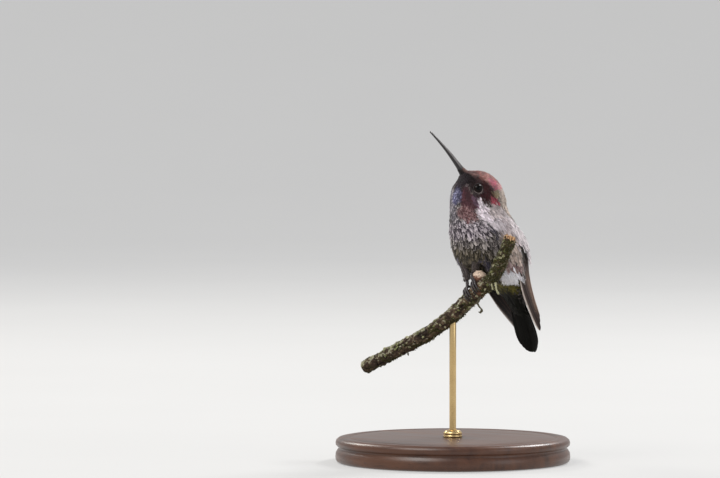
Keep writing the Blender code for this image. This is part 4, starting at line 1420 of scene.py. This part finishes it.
def tailSurface():
    shape, rows, columns = tailShape, tailShape["rows"], tailShape["columns"]
    u = np.linspace(shape["early"], 1, rows)[:, None] * np.ones(columns)
    across = np.linspace(-1, 1, columns)[None] * np.ones((rows, 1))
    last = len(shape["line"]) - 1
    inside = np.clip(u, 0, 1)
    # before the first point the line runs straight on
    first = (np.array(shape["line"][1]) - shape["line"][0]) * last
    line = along(shape["line"], inside * last) + first * np.minimum(u, 0)[..., None]
    root, end = shape["halfWidth"]
    half = (root + (end - root) * np.sin(inside * np.pi / 2)) * (1 - shape["taper"] * inside**5)
    fold = shape["fold"] * np.abs(across) ** 1.5
    points = np.stack([half * across, line[..., 0] - fold, line[..., 1] - shape["foldRise"] * fold], -1)
    return surfaceFrom(points, (1 - shape["early"], 2.0), False)


def makeTail():
    surface, shape = tailSurface(), tailShape
    paths, rows, tones = [], [], []
    s = np.linspace(0, 1, 16)
    spread = mix(1, s, 1 - shape["bunch"])
    for sign in (1, -1):
        for k, (place, half, level) in enumerate(shape["feathers"]):
            end = (1 - shape["rounding"] * place**2.4) - shape["early"]
            paths.append(np.stack([0.02 + (end - 0.02) * s, 1 + sign * place * spread], -1))
            rows.append((half, level))
            tones.append(shape["outer" if k else "middle"])
    width, level = np.array(rows).T
    points = layVanes(surface, np.stack(paths), broadVane, width, level - shape["sink"], level, 0.1,
                      thick=0.08, ridge=0.08)
    dark = np.array(tones) * rng.uniform(*shape["tint"], (len(rows), 1))
    edge = dark * 1.4 + shape["edge"] * 0.3
    colours = flightColours(broadVane, dark[:, None], edge[:, None], shape["shaft"])
    vanePiece("tail_feathers", "tail_plumage", points, broadVane, colours,
              stripPlaces(broadVane, len(rows), 0.08), "flight_feathers", "tail")


for side in ("left", "right"):
    makeWing(side)
makeTail()
print("wings and tail made")

perchShape = {
    "line": [(-47.7, -5.4, -31.7), (-35.8, -5.2, -26.3), (-22.8, -4.9, -20.3), (-9.75, -4.4, -13.0),
             (-0.35, -4.0, -5.2), (5.3, -3.8, -0.9), (9.0, -3.7, 1.4), (12.0, -3.7, 5.7),
             (15.2, -3.8, 11.4), (17.3, -3.8, 16.3)],
    "spurStart": 0.62, "branchRadii": (2.5, 3.05), "spurRadii": (2.5, 2.15), "shrink": 0.12,
    "rows": 460, "sides": 72, "twist": 2.2,
    # knots round the branch: share along it and angle
    "knots": [(0.1, 0.4), (0.24, 2.6), (0.37, 5.0), (0.5, 1.3), (0.74, 3.5), (0.88, 0.2)],
    "knotHeight": 0.34, "knotReach": 0.011,
    # ridges: height, count, wander; lumps: heights over sizes; cracks: depth, size, width
    "ridges": (0.10, 9, 1.6), "lumps": [(0.28, 9, 23), (0.22, 3.0, 24), (0.15, 1.2, 25)],
    "cracks": (-0.3, 4.2, 0.09),
    # where the toes hold it, and the soft edge of the bare bark there
    "held": [(4.3, -3.9, 1.5), (0.9, -3.9, -1.0)], "bare": (2.6, 5.5),
}
barkTones = {"light": tone(96, 80, 62), "dark": tone(66, 52, 42), "crust": tone(168, 164, 142),
             "oldCrust": tone(142, 140, 112), "moss": tone(56, 52, 24), "fork": tone(122, 76, 56),
             "forkPlace": (0.535, 0.035), "forkShare": 0.7, "forkBlotch": (0.2, 0.8), "crackShade": 0.72,
             "crackFrom": (0.0, 0.35), "grain": (1.1, 31), "blotch": (3.4, 32), "grainShade": 0.35,
             # how far the crust follows height, blotches and grain, and where it begins and covers all
             "crustBy": (0.6, 0.75, 0.4), "crustFrom": (0.32, 0.62), "newCrust": 0.1,
             "mossBy": (0.5, 0.6), "mossPatch": (4.5, 33), "mossFrom": (0.15, 0.5), "mossGrain": 0.3,
             "spurFrom": (0.6, 0.66), "spurMoss": (0.7, 0.4), "spurPatch": (2.8, 34), "spurTo": (0.0, 0.6)}


def perchRadius(share):
    shape, start = perchShape, perchShape["spurStart"]
    (first, last), (spurFirst, spurLast) = shape["branchRadii"], shape["spurRadii"]
    low = first + (last - first) * share / start
    high = spurFirst + (spurLast - spurFirst) * (share - start) / (1 - start)
    return mix(low, high, ramp(share, start - 0.03, start + 0.03)) - shape["shrink"]


def perchSurface():
    shape = perchShape
    share = np.linspace(0, 1, shape["rows"])
    centre = along(shape["line"], share * (len(shape["line"]) - 1))
    ahead = unit(np.gradient(centre, axis=0))
    up = unit(np.array([0, 0, 1.0]) - ahead * ahead[:, 2:3])
    angle = anglesOf(shape["sides"])[None]
    way = roundWay(up[:, None], np.cross(up, ahead)[:, None], angle)
    radius = perchRadius(share)[:, None] * np.ones(shape["sides"])
    smooth = centre[:, None] + way * radius[..., None]
    # long ridges that wander round the branch, knots, small scars and cracks
    height, count, wander = shape["ridges"]
    drift = angle + shape["twist"] * share[:, None]
    ridges = height * np.sin(count * drift + wander * ripple(smooth, 14, 21))
    ridges = ridges * (0.5 + 0.5 * ripple(smooth, 9, 22))
    lumps = sum(height * ripple(smooth, size, seed) for height, size, seed in shape["lumps"])
    depth, size, width = shape["cracks"]
    cracks = depth * np.exp(-(ripple(smooth * [0.5, 1, 1], size, 26) / width) ** 2)
    knots = 0
    for at, turn in shape["knots"]:
        ring = shape["knotHeight"] * np.exp(-(((share - at) / shape["knotReach"]) ** 2))
        knots = knots + ring[:, None] * (0.5 + 0.5 * np.cos(angle - turn))
    radius = radius + ridges + lumps + cracks + knots
    surface = surfaceFrom(centre[:, None] + way * radius[..., None], (1.0, fullTurn), True)
    surface["flip"] = faceOut(surface)
    surface["height"] = lumps + ridges + cracks
    return surface


wood = perchSurface()


def barkColours(points, out, height, share):
    # brown-grey bark, pale lichen crust along the top, dark moss below, ruddy wood at the fork
    tones = barkTones
    up, grain, blotch = out[..., 2], ripple(points, *tones["grain"]), ripple(points, *tones["blotch"])
    colour = np.where(blotch[..., None] > 0, tones["light"], tones["dark"])
    colour = colour * (1 + tones["grainShade"] * grain[..., None])
    colour = colour * (1 - tones["crackShade"] * ramp(-height, *tones["crackFrom"])[..., None])
    byHeight, byBlotch, byGrain = tones["crustBy"]
    crust = ramp(byHeight * up + byBlotch * blotch + byGrain * grain, *tones["crustFrom"])[..., None]
    fresh = grain[..., None] > tones["newCrust"]
    colour = mix(colour, np.where(fresh, tones["crust"], tones["oldCrust"]), crust)
    byHeight, byPatch = tones["mossBy"]
    moss = ramp(-byHeight * up + byPatch * ripple(points, *tones["mossPatch"]), *tones["mossFrom"])
    byPatch, more = tones["spurMoss"]
    patch = ramp(byPatch * ripple(points, *tones["spurPatch"]) + more, *tones["spurTo"])
    moss = moss + ramp(share, *tones["spurFrom"]) * patch
    tint = tones["moss"] * (1 + tones["mossGrain"] * grain[..., None])
    colour = mix(colour, tint, np.clip(moss, 0, 1)[..., None])
    place, reach = tones["forkPlace"]
    fork = np.exp(-(((share - place) / reach) ** 2)) * ramp(0.5 + blotch, *tones["forkBlotch"])
    return mix(colour, tones["fork"], tones["forkShare"] * fork[..., None])


# rings of each end from the rim to the middle: share of the radius, depth
endRings = [(0.97, -0.04), (0.86, 0.0), (0.62, 0.02), (0.36, 0.04), (0.14, 0.02)]
perchEnds = {
    # wood, year rings, middle of the end, and the seed of its grain
    "sawn": ((188, 158, 118), (142, 108, 74), (120, 84, 56), 51),
    "torn": ((206, 168, 132), (146, 104, 74), (150, 96, 60), 61),
}


def perchEnd(ring, inward, kind):
    # the sawn face of the low end, or the splintered break at the top of the spur
    fresh, old, _, seed = perchEnds[kind]
    rings, tints = [], []
    centre = ring.mean(0)
    for level, (k, depth) in enumerate(endRings):
        place = centre + (ring - centre) * k
        if kind == "torn":
            rough = np.abs(ripple(place, 0.9, seed + level)) * (1.4 - k)
            depth = (depth + 0.9 * (1 - k) - rough * 0.9)[:, None]
        rings.append(place + inward * depth)
        year = 0.5 + 0.5 * np.cos(k * 26 + 0.8 * ripple(place, 1.5, seed))
        tints.append(mix(tone(*old), tone(*fresh), year[:, None]) * (0.55 if level == 0 else 1.0))
    return np.array(rings), np.array(tints)


def makePerch():
    shape = perchShape
    share = np.linspace(0, 1, shape["rows"])[:, None] * np.ones(shape["sides"])
    points = wood["points"]
    colours = barkColours(points, wood["out"], wood["height"], share)
    low, lowTints = perchEnd(points[0], unit(points[1].mean(0) - points[0].mean(0)), "sawn")
    inward = unit(points[-2].mean(0) - points[-1].mean(0))
    torn = points[-1] - inward * (0.9 * np.abs(ripple(points[-1], 1.3, 57)))[:, None]
    high, highTints = perchEnd(torn, inward, "torn")
    points = join([low[::-1], points[:-1], torn[None], high])
    colours = join([lowTints[::-1], colours, highTints]).reshape(-1, 3)
    colours = join([colours, [tone(*perchEnds[kind][2]) for kind in ("sawn", "torn")]])
    faceSets = solidFaces(len(points), shape["sides"])
    if wood["flip"]:
        faceSets = [f[:, ::-1] for f in faceSets]
    made = makeObject("perch_bark", withEnds(points), faceSets, looks["bark"], colours)
    finishPiece(made, "bark", "perch_branch", "perch_spur")
    return torn, -inward


knobShape = {"place": (3.9, -4.0, 2.0), "radii": (2.7, 2.3, 2.3), "over": 0.05, "shift": (-0.1, 0.0, 0.3),
             "rows": 60, "sides": 72, "endAngle": 0.03, "crack": (2.4, 0.1), "crackFrom": (-0.2, 0.4),
             "crackDepth": 0.07, "crackShade": 0.48, "foot": tone(118, 84, 68), "wornAndGlint": tone(228, 203, 182),
             "wornFrom": (-0.05, 0.3)}


def makeKnob():
    # the pale stub of a side twig, worn smooth and cracked, with bark round its foot
    shape, end = knobShape, knobShape["endAngle"]
    place, radii = np.array(shape["place"]), np.array(shape["radii"])
    theta = np.linspace(end, math.pi - end, shape["rows"])[:, None]
    phi = anglesOf(shape["sides"])[None]
    x, y, upright = np.eye(3)
    way = roundWay(upright, roundWay(x, y, phi), theta)
    points = place + way * (radii + shape["over"]) + shape["shift"]
    size, width = shape["crack"]
    crack = np.exp(-(ripple(points, size, 71) / width) ** 2) * ramp(way[..., 2], *shape["crackFrom"])
    size = 1 + 0.05 * ripple(points, 1.8, 72) + 0.02 * ripple(points, 0.6, 73) - shape["crackDepth"] * crack
    points = place + (points - place) * size[..., None]
    pale = ramp(way[..., 2] + 0.25 * ripple(points, 1.5, 74), *shape["wornFrom"])[..., None]
    colours = mix(shape["foot"], shape["wornAndGlint"], pale) * (1 + 0.14 * ripple(points, 0.8, 75))[..., None]
    colours = colours * (1 - shape["crackShade"] * crack)[..., None]
    colours = join([colours.reshape(-1, 3), colours[0, :1], colours[-1, :1]])
    faceSets = [f[:, ::-1] for f in solidFaces(shape["rows"], shape["sides"])]
    finishPiece(makeObject("perch_knob", withEnds(points), faceSets, looks["bark"], colours), "bark")


def flakeTemplate(rings=4, sides=24, lobes=7):
    # a small ruffled rosette of lichen: shares of its radius, angles and heights
    radius, angle, height = [0.0], [0.0], [0.25]
    for i in range(1, rings + 1):
        share = i / rings
        for k in range(sides):
            a = fullTurn * k / sides
            ruffle = 0.5 + 0.5 * math.cos(2 * lobes * a)
            radius.append(share * (1 - 0.22 * (0.5 + 0.5 * math.cos(lobes * a)) * share**2))
            angle.append(a)
            height.append(0.2 - 0.16 * share**2 + 0.2 * share**3 * ruffle)
    tris = [(0, 1 + k, 1 + (k + 1) % sides) for k in range(sides)]
    quads = []
    for i in range(1, rings):
        low, high = 1 + (i - 1) * sides, 1 + i * sides
        quads += [(low + k, high + k, high + (k + 1) % sides, low + (k + 1) % sides) for k in range(sides)]
    top = len(radius)
    rim = [top - sides + k for k in range(sides)]
    radius += [0.55 * radius[r] for r in rim]
    angle += [angle[r] for r in rim]
    height += [-0.25] * sides
    quads += [(rim[k], top + k, top + (k + 1) % sides, rim[(k + 1) % sides]) for k in range(sides)]
    tris += [(top, top + k + 1, top + k) for k in range(1, sides - 1)]
    return np.array(radius), np.array(angle), np.array(height), np.array(quads), np.array(tris)


def scatterOnWood(count, weigh, seed):
    # places on the bark picked by a weight of the outward way and the share along
    draw = np.random.default_rng(seed)
    u, v = draw.uniform(0.01, 0.985, count * 6), draw.uniform(0, fullTurn, count * 6)
    found = readSurface(wood, u, v)
    weight = weigh(found["points"], found["out"][:, 2], u)
    pick = np.flatnonzero(draw.random(len(u)) < weight)[:count]
    points, ahead, out = found["points"][pick], unit(found["stepU"][pick]), unit(found["out"][pick])
    return points, ahead, np.cross(out, ahead), out, draw


def nearFeet(points):
    # 1 where the toes hold the wood
    gap = np.min([np.linalg.norm(points - place, axis=-1) for place in perchShape["held"]], axis=0)
    return 1 - ramp(gap, *perchShape["bare"])


lichenShape = {"count": 520, "size": (0.2, 0.62), "height": (0.6, 1.1), "onSpur": 0.6,
               "tones": [(150, 147, 110), (118, 120, 74), (166, 160, 128), (98, 98, 60)]}
mossShape = {"count": 2300, "length": (0.3, 0.8), "width": (0.07, 0.13), "rise": (0.5, 1.6), "cup": 0.25,
             "sink": 0.08, "thick": 0.03, "shade": (0.55, 0.75),
             "tones": [(64, 64, 24), (88, 84, 34), (46, 46, 20), (132, 126, 66)],
             "shares": [0.4, 0.27, 0.23, 0.10]}


def lichenWeight(points, up, share):
    weight = 0.08 + 0.6 * ramp(up + 0.5 * ripple(points, 5, 81), 0.1, 0.8) + 0.05 * ramp(share, 0.6, 0.7)
    return weight * (1 - nearFeet(points)) * (1 - lichenShape["onSpur"] * ramp(share, 0.6, 0.66))


def mossWeight(points, up, share):
    weight = ramp(-0.45 * up + 0.75 * ripple(points, 4.5, 33), 0.1, 0.5) * 0.8
    weight = weight + ramp(share, 0.6, 0.68) * 0.55
    return np.clip(weight, 0, 1) * (1 - nearFeet(points))


def makeLichen():
    # rosettes of lichen
    shape = lichenShape
    radius, angle, height, quads, tris = flakeTemplate()
    places, ahead, side, out, draw = scatterOnWood(shape["count"], lichenWeight, 82)
    n = len(places)
    size = draw.uniform(*shape["size"], n)
    a = angle[None] + draw.uniform(0, fullTurn, n)[:, None]
    wobble = 1 + 0.2 * np.sin(2 * a + draw.uniform(0, 6, (n, 1)))
    wobble = wobble + 0.14 * np.sin(5 * a + draw.uniform(0, 6, (n, 1)))
    flat = roundWay(ahead[:, None], side[:, None], a) * (radius[None] * wobble * size[:, None])[..., None]
    lift = height[None] * size[:, None] * draw.uniform(*shape["height"], (n, 1)) + 0.02
    points = places[:, None] + flat + out[:, None] * lift[..., None]
    tints = np.array([tone(*row) for row in shape["tones"]])
    colours = tints[draw.integers(0, len(tints), n)][:, None] * (0.75 + 0.4 * radius[None, :, None] ** 2)
    faceSets = [repeated(faces, n, len(radius)) for faces in (quads, tris)]
    finishPiece(makeObject("perch_lichen", points, faceSets, looks["moss_and_lichen"], colours), "bark")


def makeMoss():
    # short pointed leaves of moss that stand off the wood
    shape = mossShape
    template = vaneTemplate(4, 1, 0.0, 0.0, 0.8, 3.0)
    places, ahead, side, out, draw = scatterOnWood(shape["count"], mossWeight, 91)
    n = len(places)
    length, width = (draw.uniform(*shape[label], n)[:, None, None] for label in ("length", "width"))
    turn = draw.uniform(0, fullTurn, n)
    lean = unit(roundWay(ahead, side, turn) + out * draw.uniform(*shape["rise"], (n, 1)))
    across = unit(np.cross(lean, out) + 1e-6)
    cup = np.cross(across, lean)
    s, t, under = (template[label][None, :, None] for label in ("s", "width", "under"))
    points = places[:, None] - out[:, None] * shape["sink"] + lean[:, None] * s * length
    points = points + across[:, None] * t * width
    points = points + cup[:, None] * (shape["cup"] * s**2 * length - shape["thick"] * under)
    tints = np.array([tone(*row) for row in shape["tones"]])
    tints = tints[draw.choice(len(tints), n, p=shape["shares"])]
    colours = tints[:, None] * (shape["shade"][0] + shape["shade"][1] * s)
    faceSets = [repeated(template[kind], n, len(template["s"])) for kind in ("quads", "tris")]
    finishPiece(makeObject("perch_moss", points, faceSets, looks["moss_and_lichen"], colours), "bark")


strandLines = [
    # hanging curls of lichen under the fork and along the branch: points from the grip, thickness
    ([(4.2, -4.6, -4.0), (4.5, -5.0, -5.6), (4.0, -5.2, -7.0), (4.9, -5.1, -8.3), (5.7, -5.0, -9.2),
      (5.2, -5.1, -10.1), (4.4, -5.2, -9.9)], 0.34),
    ([(11.6, -4.8, 0.6), (12.2, -5.2, -0.8), (12.5, -5.3, -1.9), (13.1, -5.2, -3.0),
      (13.6, -5.1, -3.3)], 0.3),
    ([(10.4, -5.4, 0.2), (10.9, -5.7, -1.0), (11.2, -5.6, -2.0)], 0.22),
    ([(-1.4, -4.6, -8.2), (-1.2, -5.0, -9.6), (-1.9, -5.1, -10.6), (-1.5, -5.0, -11.4)], 0.26),
    ([(-3.6, -5.2, -10.2), (-3.9, -5.6, -11.2), (-3.4, -5.7, -12.1)], 0.28),
    ([(-15.4, -5.2, -18.3), (-15.9, -5.5, -19.6), (-15.3, -5.7, -20.4)], 0.26),
    ([(-27.0, -5.4, -24.4), (-27.5, -5.7, -25.6), (-27.1, -5.9, -26.7)], 0.24),
]
strandShape = {"rows": 30, "sides": 9, "radii": (1.3, 1.0, 0.8, 1.2, 0.4), "lump": 0.3, "palest": (1, 2),
               "dark": tone(56, 50, 34), "pale": tone(176, 172, 136)}


def makeStrands():
    shape, tubes = strandShape, []
    rows, sides = shape["rows"], shape["sides"]
    for k, (line, thick) in enumerate(strandLines):
        def bumpy(s, a):
            twist = np.sin(31 * s + k) * np.sin(2 * a + 17 * s)
            return 1 + shape["lump"] * twist + shape["lump"] * np.sin(3 * a + 41 * s)

        points = tubePoints(line, [thick * share for share in shape["radii"]], rows, sides, 1.0, bumpy)
        pale = 0.9 if k in shape["palest"] else 0.1 + 0.1 * (k % 3)
        grain = 1 + 0.2 * ripple(points, 0.7, 99)[:, None]
        tubes.append((points, rows, sides, mix(shape["dark"], shape["pale"], pale) * grain))
    finishPiece(joinTubes("perch_strands", looks["moss_and_lichen"], tubes), "bark")


splinterShape = {"count": 34, "foot": (0.62, 1.02), "splay": (-0.02, 0.3), "stray": 0.09,
                 "height": (0.2, 0.85), "buried": 0.9, "bend": 0.05, "radii": (0.3, 0.27, 0.17, 0.03),
                 "rows": 9, "sides": 6, "flat": 0.5, "tone": tone(232, 192, 146), "light": (0.6, 1.1)}


def makeSplinters(ring, outward):
    # torn fibres that stand up from the break
    shape, tubes = splinterShape, []
    draw = np.random.default_rng(7)
    centre = ring.mean(0)
    for _ in range(shape["count"]):
        edge = ring[draw.integers(len(ring))]
        foot = centre + (edge - centre) * draw.uniform(*shape["foot"])
        splay = (edge - centre) * draw.uniform(*shape["splay"])
        lean = unit(outward + splay + draw.normal(0, shape["stray"], 3))
        tall = draw.uniform(*shape["height"])
        tip = foot + lean * tall + draw.normal(0, shape["bend"], 3)
        line = [foot - outward * shape["buried"], foot, foot + lean * tall * 0.6, tip]
        points = tubePoints(line, shape["radii"], shape["rows"], shape["sides"], shape["flat"])
        colours = np.tile(shape["tone"] * draw.uniform(*shape["light"]), (len(points), 1))
        tubes.append((points, shape["rows"], shape["sides"], colours))
    finishPiece(joinTubes("perch_splinters", looks["bark"], tubes), "bark")


torn, outward = makePerch()
makeKnob()
makeLichen()
makeMoss()
makeStrands()
makeSplinters(torn, outward)
print("perch made")

footShape = {
    "places": {"left": 4.3, "right": 0.9}, "clear": 0.52, "sole": 0.65, "sunk": 0.1,
    "frontSpread": (-1.0, 0.0, 1.0), "hindSpread": 0.2, "reach": (98.0, -92.0), "toePoints": 12,
    "bulge": (0.46, 0.26), "toeRadii": (0.46, 0.38, 0.34, 0.3, 0.26),
    "toeRows": 64, "toeSides": 14, "toePlates": 15,
    "clawReach": 30.0, "clawPoints": 5, "clawClear": (0.66, 0.22, 0.42),
    "clawRadii": (0.24, 0.27, 0.25, 0.2, 0.13, 0.03), "clawRows": 26, "clawSides": 10, "clawFlat": 0.8,
    "shankRadii": (0.62, 0.62, 0.52, 0.5, 0.5), "shankRows": 40, "shankSides": 16, "shankPlates": 9,
    "toe": tone(44, 39, 42), "claw": tone(24, 22, 24), "shank": tone(48, 43, 46),
}
perchTrees = [nodeTree(name) for name in ("perch_branch", "perch_spur")]


def perchFrame(x, fine=4000, beside=40):
    # the perch's middle at x, the way along it, the way back and the way up
    line = along(perchShape["line"], np.linspace(0, 1, fine) * (len(perchShape["line"]) - 1))
    k = int(np.argmin(np.abs(line[:, 0] - x)))
    ahead = unit(line[k + beside] - line[k - beside])
    up = unit(np.array([0, 0, 1.0]) - ahead * ahead[2])
    return line[k], ahead, np.cross(up, ahead), up


def onPerch(grip, offset, degrees, clear):
    # a place over the wood: offset along it, turned round it, standing clear of it
    centre, ahead, back, up = grip
    angle = math.radians(degrees)
    out = up * math.cos(angle) - back * math.sin(angle)
    start = Vector(centre + ahead * offset + out * 12)
    hits = [tree.ray_cast(start, Vector(-out)) for tree in perchTrees]
    hit = min((hit for hit in hits if hit[0] is not None), key=lambda hit: hit[3])
    return np.array(hit[0]) + out * clear


def plates(count):
    # overlapping scutes on the back of the toe, soft pads under it
    def shape(s, a):
        step = np.mod(s * count, 1)
        back, under = np.clip(np.sin(a), 0, 1), np.clip(-np.sin(a), 0, 1)
        return 1 + 0.17 * back**0.5 * (1 - step) ** 0.6 + 0.12 * under * np.abs(np.sin(s * 12))
    return shape


def footTube(line, part, bumps=None, flat=1.0):
    # one toe, claw or shank with its colours
    radii, rows, sides = (footShape[part + label] for label in ("Radii", "Rows", "Sides"))
    points = tubePoints(line, radii, rows, sides, flat, bumps)
    return points, rows, sides, footShape[part] * (1 + 0.15 * ripple(points, 0.8, 77)[:, None])


def makeFoot(side):
    shape = footShape
    grip = perchFrame(shape["places"][side])
    front, hind = shape["reach"]
    toes = [(spread, front) for spread in shape["frontSpread"]] + [(shape["hindSpread"], hind)]
    tubes = []
    for spread, reach in toes:
        line = []
        for share in np.linspace(0, 1, shape["toePoints"] + 1):
            first, last = shape["bulge"]
            clear = shape["clear"] + first + (last - first) * share - shape["sunk"]
            line.append(onPerch(grip, spread * min(1.0, 0.35 + 1.6 * share), reach * share, clear))
        tubes.append(footTube(line, "toe", plates(shape["toePlates"])))
        hook = line[-2:]
        for share in np.linspace(0, 1, shape["clawPoints"] + 1)[1:]:
            first, arch, drop = shape["clawClear"]
            clear = first + arch * math.sin(math.pi * share) - drop * share
            turn = reach + math.copysign(shape["clawReach"] * share, reach)
            hook.append(onPerch(grip, spread, turn, clear))
        tubes.append(footTube(hook, "claw", None, shape["clawFlat"]))
    sole = onPerch(grip, 0.0, 0.0, shape["clear"] + shape["sole"] - shape["sunk"])
    ankle, high = legAxis(side)
    top = ankle + (high - ankle) * 0.5
    line = [sole - grip[3] * 0.35, sole, (sole * 2 + top) / 3, top]
    tubes.append(footTube(line, "shank", plates(shape["shankPlates"])))
    made = joinTubes("bird_foot_" + side, looks["foot_scales"], tubes)
    finishPiece(made, "foot_scales", "foot_" + side)


tuftShape = {"rise": 0.7, "radii": (1.7, 1.35, 1.2), "rows": 24, "sides": 24, "feathered": (0.0, 0.62, 6),
             "most": 15, "stray": (0.03, 0.1), "swing": 0.12, "length": (1.3, 2.0), "width": (0.35, 0.55),
             "low": -0.25, "high": 0.1, "curl": (-0.1, 0.3), "light": (0.8, 1.2),
             "fringeLight": (0.85, 1.1), "centre": tone(64, 57, 54), "fringe": tone(118, 108, 104)}


def makeLegTuft(side):
    # short downy feathers round the leg, down to the ankle
    shape = tuftShape
    rows, sides = shape["rows"], shape["sides"]
    low, high = legAxis(side)
    top = high + (high - low) * shape["rise"]
    rings = tubePoints([top, (top + low) / 2, low], shape["radii"], rows, sides)[:-2]
    surface = surfaceFrom(rings.reshape(rows, sides, 3), (1.0, fullTurn), True)
    faceOut(surface)
    u, v = [], []
    strayU, strayV = shape["stray"]
    for row, at in enumerate(np.linspace(*shape["feathered"])):
        count = shape["most"] - row
        u.append(at + rng.uniform(-strayU, strayU, count))
        around = (np.arange(count) + 0.5 * (row % 2)) / count * fullTurn
        v.append(around + rng.uniform(-strayV, strayV, count))
    u, v = join(u), join(v)
    n = len(u)
    turn = rng.normal(0, shape["swing"], n)
    spines = spinesOn(surface, u, v, turn, rng.uniform(*shape["length"], n))
    width = rng.uniform(*shape["width"], n)
    points = layVanes(surface, spines, bodyVane, width, shape["low"], shape["high"], 0.1,
                      rng.uniform(*shape["curl"], n), thick=0.04)
    centre = shape["centre"] * rng.uniform(*shape["light"], (n, 1))
    fringe = shape["fringe"] * rng.uniform(*shape["fringeLight"], (n, 1))
    colours = vaneColours(bodyVane, centre, fringe, downTone, 0.5)
    bake = patchPlaces(bodyVane, 0.1 + 0.8 * v / fullTurn, 0.1 + 0.8 * np.clip(u, 0, 1))
    vanePiece("leg_tuft_" + side, "down_plumage", points, bodyVane, colours, bake)


for side in ("left", "right"):
    makeFoot(side)
    makeLegTuft(side)
print("feet made")

standShape = {
    "sides": 160,
    "base": [(1.5, 0.0), (39.0, 0.0), (40.6, 0.15), (41.4, 0.6), (41.75, 1.2), (41.85, 2.2), (41.7, 3.6),
             (41.1, 4.6), (40.7, 5.1), (40.75, 5.6), (41.2, 5.9), (41.7, 6.4), (41.8, 7.2), (41.5, 8.1),
             (40.7, 8.75), (39.5, 8.97), (37.6, 8.97), (37.1, 8.8), (36.6, 8.62), (36.1, 8.8), (35.6, 8.95),
             (30.0, 8.98), (20.0, 8.98), (10.0, 8.98), (5.6, 8.98), (5.2, 8.98), (1.55, 8.98), (1.5, 8.8),
             (1.5, 6.0), (1.5, 0.2)],
    "collar": [(1.42, 9.05), (3.3, 9.05), (3.38, 9.2), (3.38, 9.6), (3.2, 9.75), (3.2, 9.9), (3.36, 10.05),
               (3.36, 10.5), (3.2, 10.8), (2.9, 11.1), (2.55, 11.35), (2.2, 11.5),
                (1.8, 11.58), (1.42, 11.58)],
    "rod": [(0.02, 4.3), (1.1, 4.3), (1.2, 4.45), (1.2, 12.0), (1.2, 20.0), (1.2, 30.0), (1.2, 40.0),
            (1.2, 51.7), (1.1, 51.9), (0.02, 51.9)],
}


def ringsOf(profile, sides):
    # rings of a turned shape, from a profile of radii and heights
    angle = anglesOf(sides)
    rings = [np.stack([r * np.cos(angle), r * np.sin(angle), np.full(sides, z)], 1) for r, z in profile]
    return np.array(rings) - gripPlace


def makeTurned(name, part, slot, closed=True):
    # a closed profile goes all the way round a section; an open one runs from end to end on the axis
    profile, sides = standShape[part], standShape["sides"]
    rings = ringsOf(profile, sides)
    if closed:
        faceSets = [hoopFaces(len(profile), sides)]
    else:
        rings, faceSets = withEnds(rings), solidFaces(len(profile), sides)
    finishPiece(makeObject(name, rings, faceSets, looks[slot]), slot, "stand_" + part)


makeTurned("turned_foot", "base", "stand_wood")
makeTurned("brass_collar", "collar", "stand_brass")
makeTurned("brass_rod", "rod", "stand_brass", False)
print("stand made")

view = {"azimuth": 40.0, "elevation": 2.0, "away": 1500.0, "width": 255.96, "right": -41.95, "up": 15.64}


def wayAt(azimuth, elevation):
    # the way from the model to a place at these angles in degrees
    a, e = math.radians(azimuth), math.radians(elevation)
    return np.array([math.sin(a) * math.cos(e), -math.cos(a) * math.cos(e), math.sin(e)])


def placeAt(name, data, place, way):
    # an object that looks back along its way
    made = bpy.data.objects.new(name, data)
    made.location = place * mm
    made.rotation_euler = Vector(way).to_track_quat("Z", "Y").to_euler()
    bpy.context.scene.collection.objects.link(made)
    return made


def makeCamera():
    azimuth = math.radians(view["azimuth"])
    right = np.array([math.cos(azimuth), math.sin(azimuth), 0.0])
    way = wayAt(view["azimuth"], view["elevation"])
    aim = gripPlace + right * view["right"] + np.cross(way, right) * view["up"]
    camera = bpy.data.cameras.new("camera")
    camera.sensor_width = 36.0
    camera.lens = camera.sensor_width * view["away"] / view["width"]
    camera.clip_start, camera.clip_end = 0.05, 20.0
    bpy.context.scene.camera = placeAt("camera", camera, aim + way * view["away"], way)


studio = {"world": (0.86, 0.88, 0.92, 1.0), "strength": 0.5}
lamps = {
    # azimuth, elevation, distance, size, power, colour
    "key": (-8.0, 50.0, 1500.0, 900.0, 13.0, (1.0, 0.98, 0.95)),
    "fill": (95.0, 20.0, 1500.0, 900.0, 3.0, (0.93, 0.96, 1.0)),
    "rim": (172.0, 45.0, 1400.0, 450.0, 16.0, (1.0, 1.0, 1.0)),
    "rimLeft": (-95.0, 35.0, 1400.0, 450.0, 8.0, (1.0, 0.98, 0.93)),
}


def makeLights():
    for name, (azimuth, elevation, away, size, power, colour) in lamps.items():
        lamp = bpy.data.lights.new(name, "AREA")
        lamp.shape, lamp.size, lamp.energy, lamp.color = "DISK", size * mm, power, colour
        way = wayAt(azimuth, elevation)
        placeAt(name, lamp, gripPlace + way * away, way)
    world = bpy.data.worlds.new("studio")
    world.use_nodes = True
    background = world.node_tree.nodes["Background"]
    background.inputs["Color"].default_value = studio["world"]
    background.inputs["Strength"].default_value = studio["strength"]
    bpy.context.scene.world = world
    bpy.context.scene.view_settings.view_transform = "Standard"


room = {"flat": (0.5, 300.0, 900.0, 1900.0), "bend": 1500.0, "bendRings": 12, "sides": 96}


def makeRoom():
    profile = [(reach, 0.0) for reach in room["flat"]]
    for a in np.linspace(0.1, math.pi / 2, room["bendRings"]):  # the floor bends up into a wall
        profile.append((room["flat"][-1] + room["bend"] * math.sin(a), room["bend"] * (1 - math.cos(a))))
    rings, faces = ringsOf(profile, room["sides"]), gridFaces(len(profile), room["sides"])
    makeObject("floor", rings, [faces], looks["pale_floor"])


makeCamera()
makeLights()
makeRoom()
